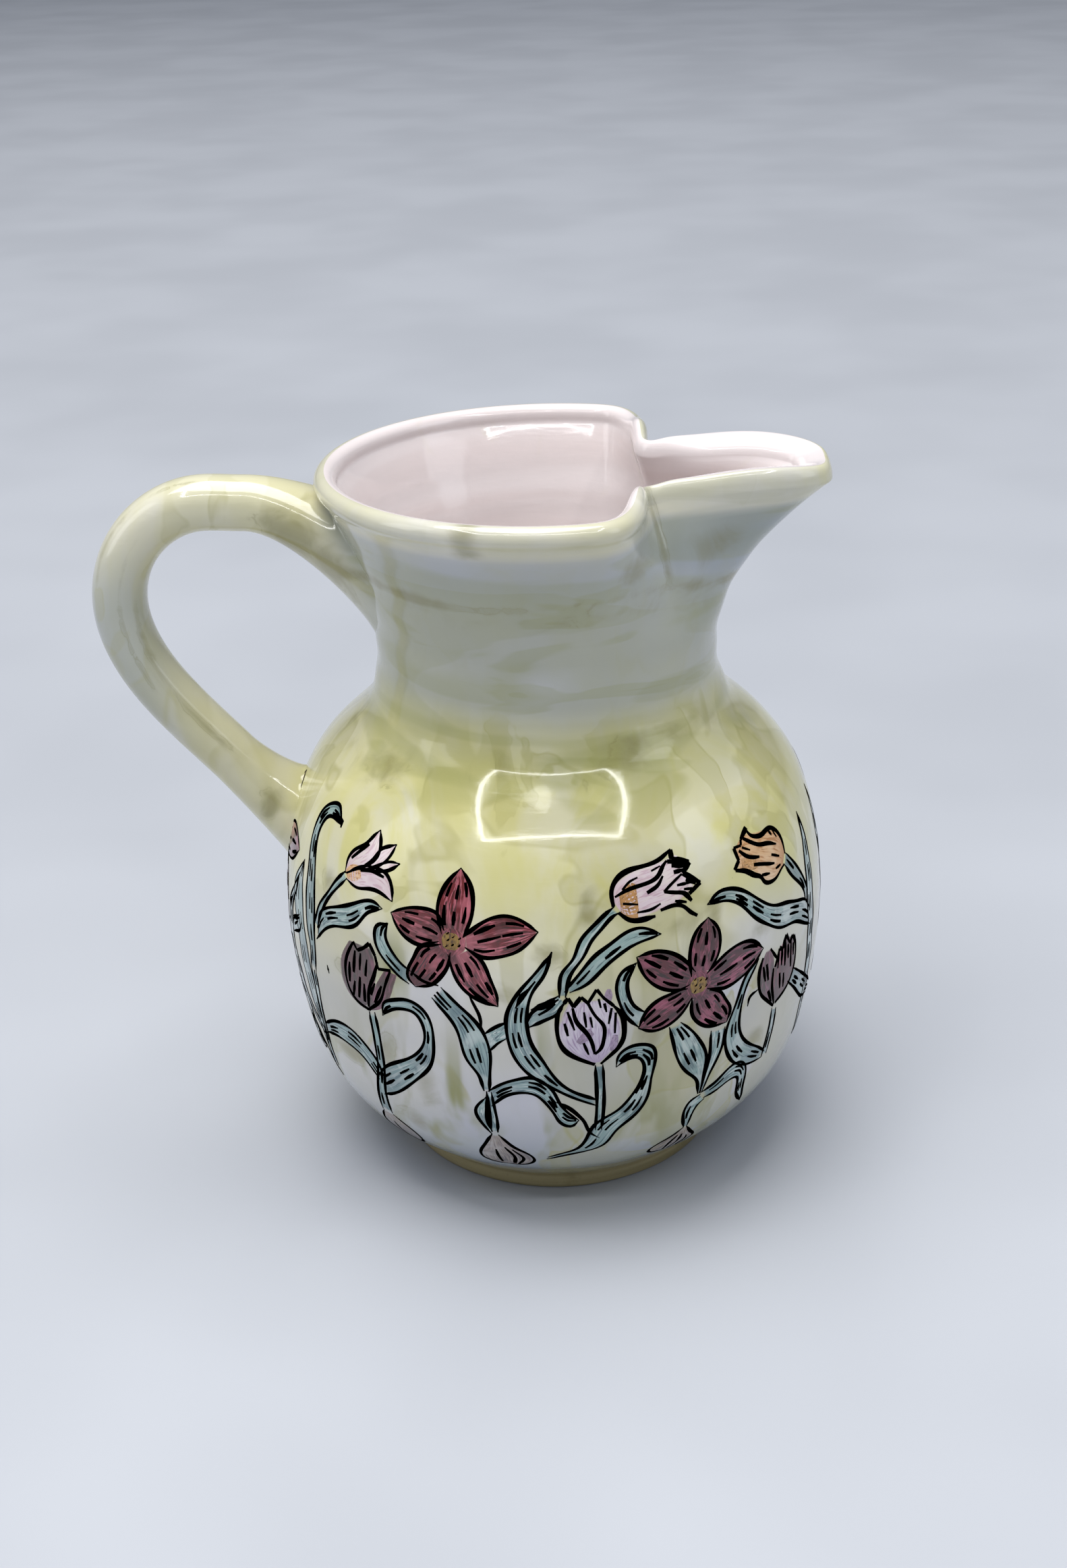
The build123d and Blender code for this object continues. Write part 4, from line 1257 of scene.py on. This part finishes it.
# Each layer's paint: its name, its main, light and dark colours on a screen, and how well it covers
PAINTS = {
    "crimson": ("crimson_petal_paint", (106, 14, 32), (196, 106, 120), (54, 6, 20), 0.97),
    "maroon": ("maroon_petal_paint", (84, 10, 34), (172, 84, 112), (40, 4, 20), 0.97),
    "plum": ("plum_petal_paint", (74, 14, 42), (132, 62, 98), (36, 6, 24), 0.9),
    "lavender": ("lavender_petal_paint", (206, 190, 216), (230, 220, 234), (160, 128, 176), 0.75),
    "pale": ("pale_petal_paint", (230, 208, 222), (238, 226, 222), (206, 166, 190), 0.75),
    "orange": ("orange_petal_paint", (222, 170, 124), (234, 200, 166), (180, 110, 58), 0.85),
    "leaf": ("pale_leaf_paint", (136, 166, 164), (206, 216, 212), (66, 100, 110), 0.9),
    "bulb": ("brown_bulb_paint", (146, 124, 108), (190, 182, 176), (88, 60, 56), 0.75),
    "purple": ("purple_accent_paint", (132, 92, 150), (168, 134, 180), (98, 60, 112), 0.7),
    "umber": ("umber_accent_paint", (188, 128, 72), (208, 154, 100), (132, 82, 42), 0.85),
    "heart": ("gold_heart_paint", (142, 108, 42), (170, 140, 62), (84, 60, 26), 0.95),
}
CLUSTERS = [left_stems, pale_tulip_left, plum_tulip, crimson_star, crimson_star_roots, pale_tulip_middle,
            lavender_tulip, plum_star, plum_tulip_right, orange_tulip]


def make_paintings():
    """The row of plants round the belly: as seen from the front, then mirrored and repeated behind."""
    materials = {}
    for layer, colours in PAINTS.items():
        materials[layer] = paint(*colours, rgb(92, 34, 34) if layer == "heart" else None)
    materials["outline"] = outline_paint()
    for place, turn, flip, shown in (("front", 0, 1, 10), ("side", -28, -1, 10), ("back", 293, 1, 5)):
        for draw in CLUSTERS[:shown]:
            plant = Plant(f"{place}_{draw.__name__}", turn, flip)
            draw(plant)
            plant.make(materials)


# ---------------------------------------------------------------- studio

STRIP_WIDTH = 0.022
STRIP_POWER = 1.6
FLOOR_REACH = 60.0


def aim(obj, place, target):
    """Puts an object at a place, in metres, with its -Z axis towards a target."""
    obj.location = place
    obj.rotation_euler = (Vector(target) - Vector(place)).to_track_quat("-Z", "Y").to_euler()


def area_light(name, place, target, size, power, colour=(1, 1, 1)):
    """A rectangular lamp of a size in metres, at a place and aimed at a target."""
    light = bpy.data.lights.new(name, "AREA")
    light.shape = "RECTANGLE"
    light.size, light.size_y = size
    light.energy = power
    light.color = colour
    lamp = bpy.data.objects.new(name, light)
    bpy.context.scene.collection.objects.link(lamp)
    aim(lamp, place, target)
    return lamp


def make_studio():
    """A pale floor, a soft tent of light, and three strip lights in an open frame over the front of the
    table.
    """
    floor = bpy.data.meshes.new("studio_floor")
    corners = [(x * FLOOR_REACH, y * FLOOR_REACH, 0) for x, y in ((-1, -1), (1, -1), (1, 1), (-1, 1))]
    floor.from_pydata(corners, [], [(0, 1, 2, 3)])
    plate = bpy.data.objects.new("studio_floor", floor)
    bpy.context.scene.collection.objects.link(plate)
    paper = Shader("pale_paper", 0.7)
    tone = paper.mix(paper.ramp(paper.noise(6, 2), 0.3, 0.7), rgb(176, 179, 185), rgb(184, 187, 193))
    floor.materials.append(paper.finish(tone))

    world = bpy.data.worlds.new("studio_air")
    world.use_nodes = True
    nodes, links = world.node_tree.nodes, world.node_tree.links
    air, haze = nodes["Background"], nodes.new("ShaderNodeBackground")
    choose = nodes.new("ShaderNodeMixShader")
    air.inputs[0].default_value, air.inputs[1].default_value = rgb(206, 216, 234), 0.3
    haze.inputs[0].default_value = rgb(89, 94, 105)
    links.new(nodes.new("ShaderNodeLightPath").outputs["Is Camera Ray"], choose.inputs[0])
    links.new(air.outputs[0], choose.inputs[1])
    links.new(haze.outputs[0], choose.inputs[2])
    links.new(choose.outputs[0], nodes["World Output"].inputs[0])
    bpy.context.scene.world = world
    bpy.context.scene.view_settings.view_transform = "Standard"

    target = (0, 0, 0.1)
    area_light("ceiling_softbox", (-0.42, 0.28, 4.0), target, (3.3, 2.8), 182)
    area_light("window_softbox", (-1.3, -0.35, 0.75), target, (0.5, 1.0), 2.4)
    area_light("fill_softbox", (1.2, -0.5, 0.7), target, (0.6, 0.8), 2.0, (0.9, 0.95, 1))
    height, near, far, side, spread = 0.72, -0.48, -0.12, 0.36, 0.29
    strips = (("strip_near", (-side, near), (side, near)), ("strip_left", (-side, near), (-spread, far)),
              ("strip_right", (side, near), (spread, far)))
    for name, start, end in strips:
        run = np.subtract(end, start)
        length = float(np.hypot(*run))
        x, y = np.add(start, end) / 2
        lamp = area_light(name, (x, y, height), (x, y, 0), (length, STRIP_WIDTH), STRIP_POWER * length)
        lamp.rotation_euler = (0, 0, atan2(run[1], run[0]))


def make_camera():
    """A camera about half a metre in front of the pitcher and a little above it, looking down."""
    pitch, yaw, roll = radians(25.984), radians(-0.5485), radians(-1.757)
    forward = np.array([sin(yaw) * cos(pitch), cos(yaw) * cos(pitch), -sin(pitch)])
    right = np.array([cos(yaw), -sin(yaw), 0])
    up = np.cross(right, forward)
    turned_right = cos(roll) * right + sin(roll) * up
    turned_up = -sin(roll) * right + cos(roll) * up
    camera = bpy.data.cameras.new("camera")
    camera.sensor_width = 36
    camera.lens = 46.47
    camera.clip_start = 0.01
    holder = bpy.data.objects.new("camera", camera)
    bpy.context.scene.collection.objects.link(holder)
    turn = Matrix((turned_right, turned_up, -forward)).transposed().to_4x4()
    holder.matrix_world = Matrix.Translation((0, -0.506, 0.35)) @ turn
    bpy.context.scene.camera = holder


make_body()
make_foot()
make_handle()
make_paintings()
make_studio()
make_camera()
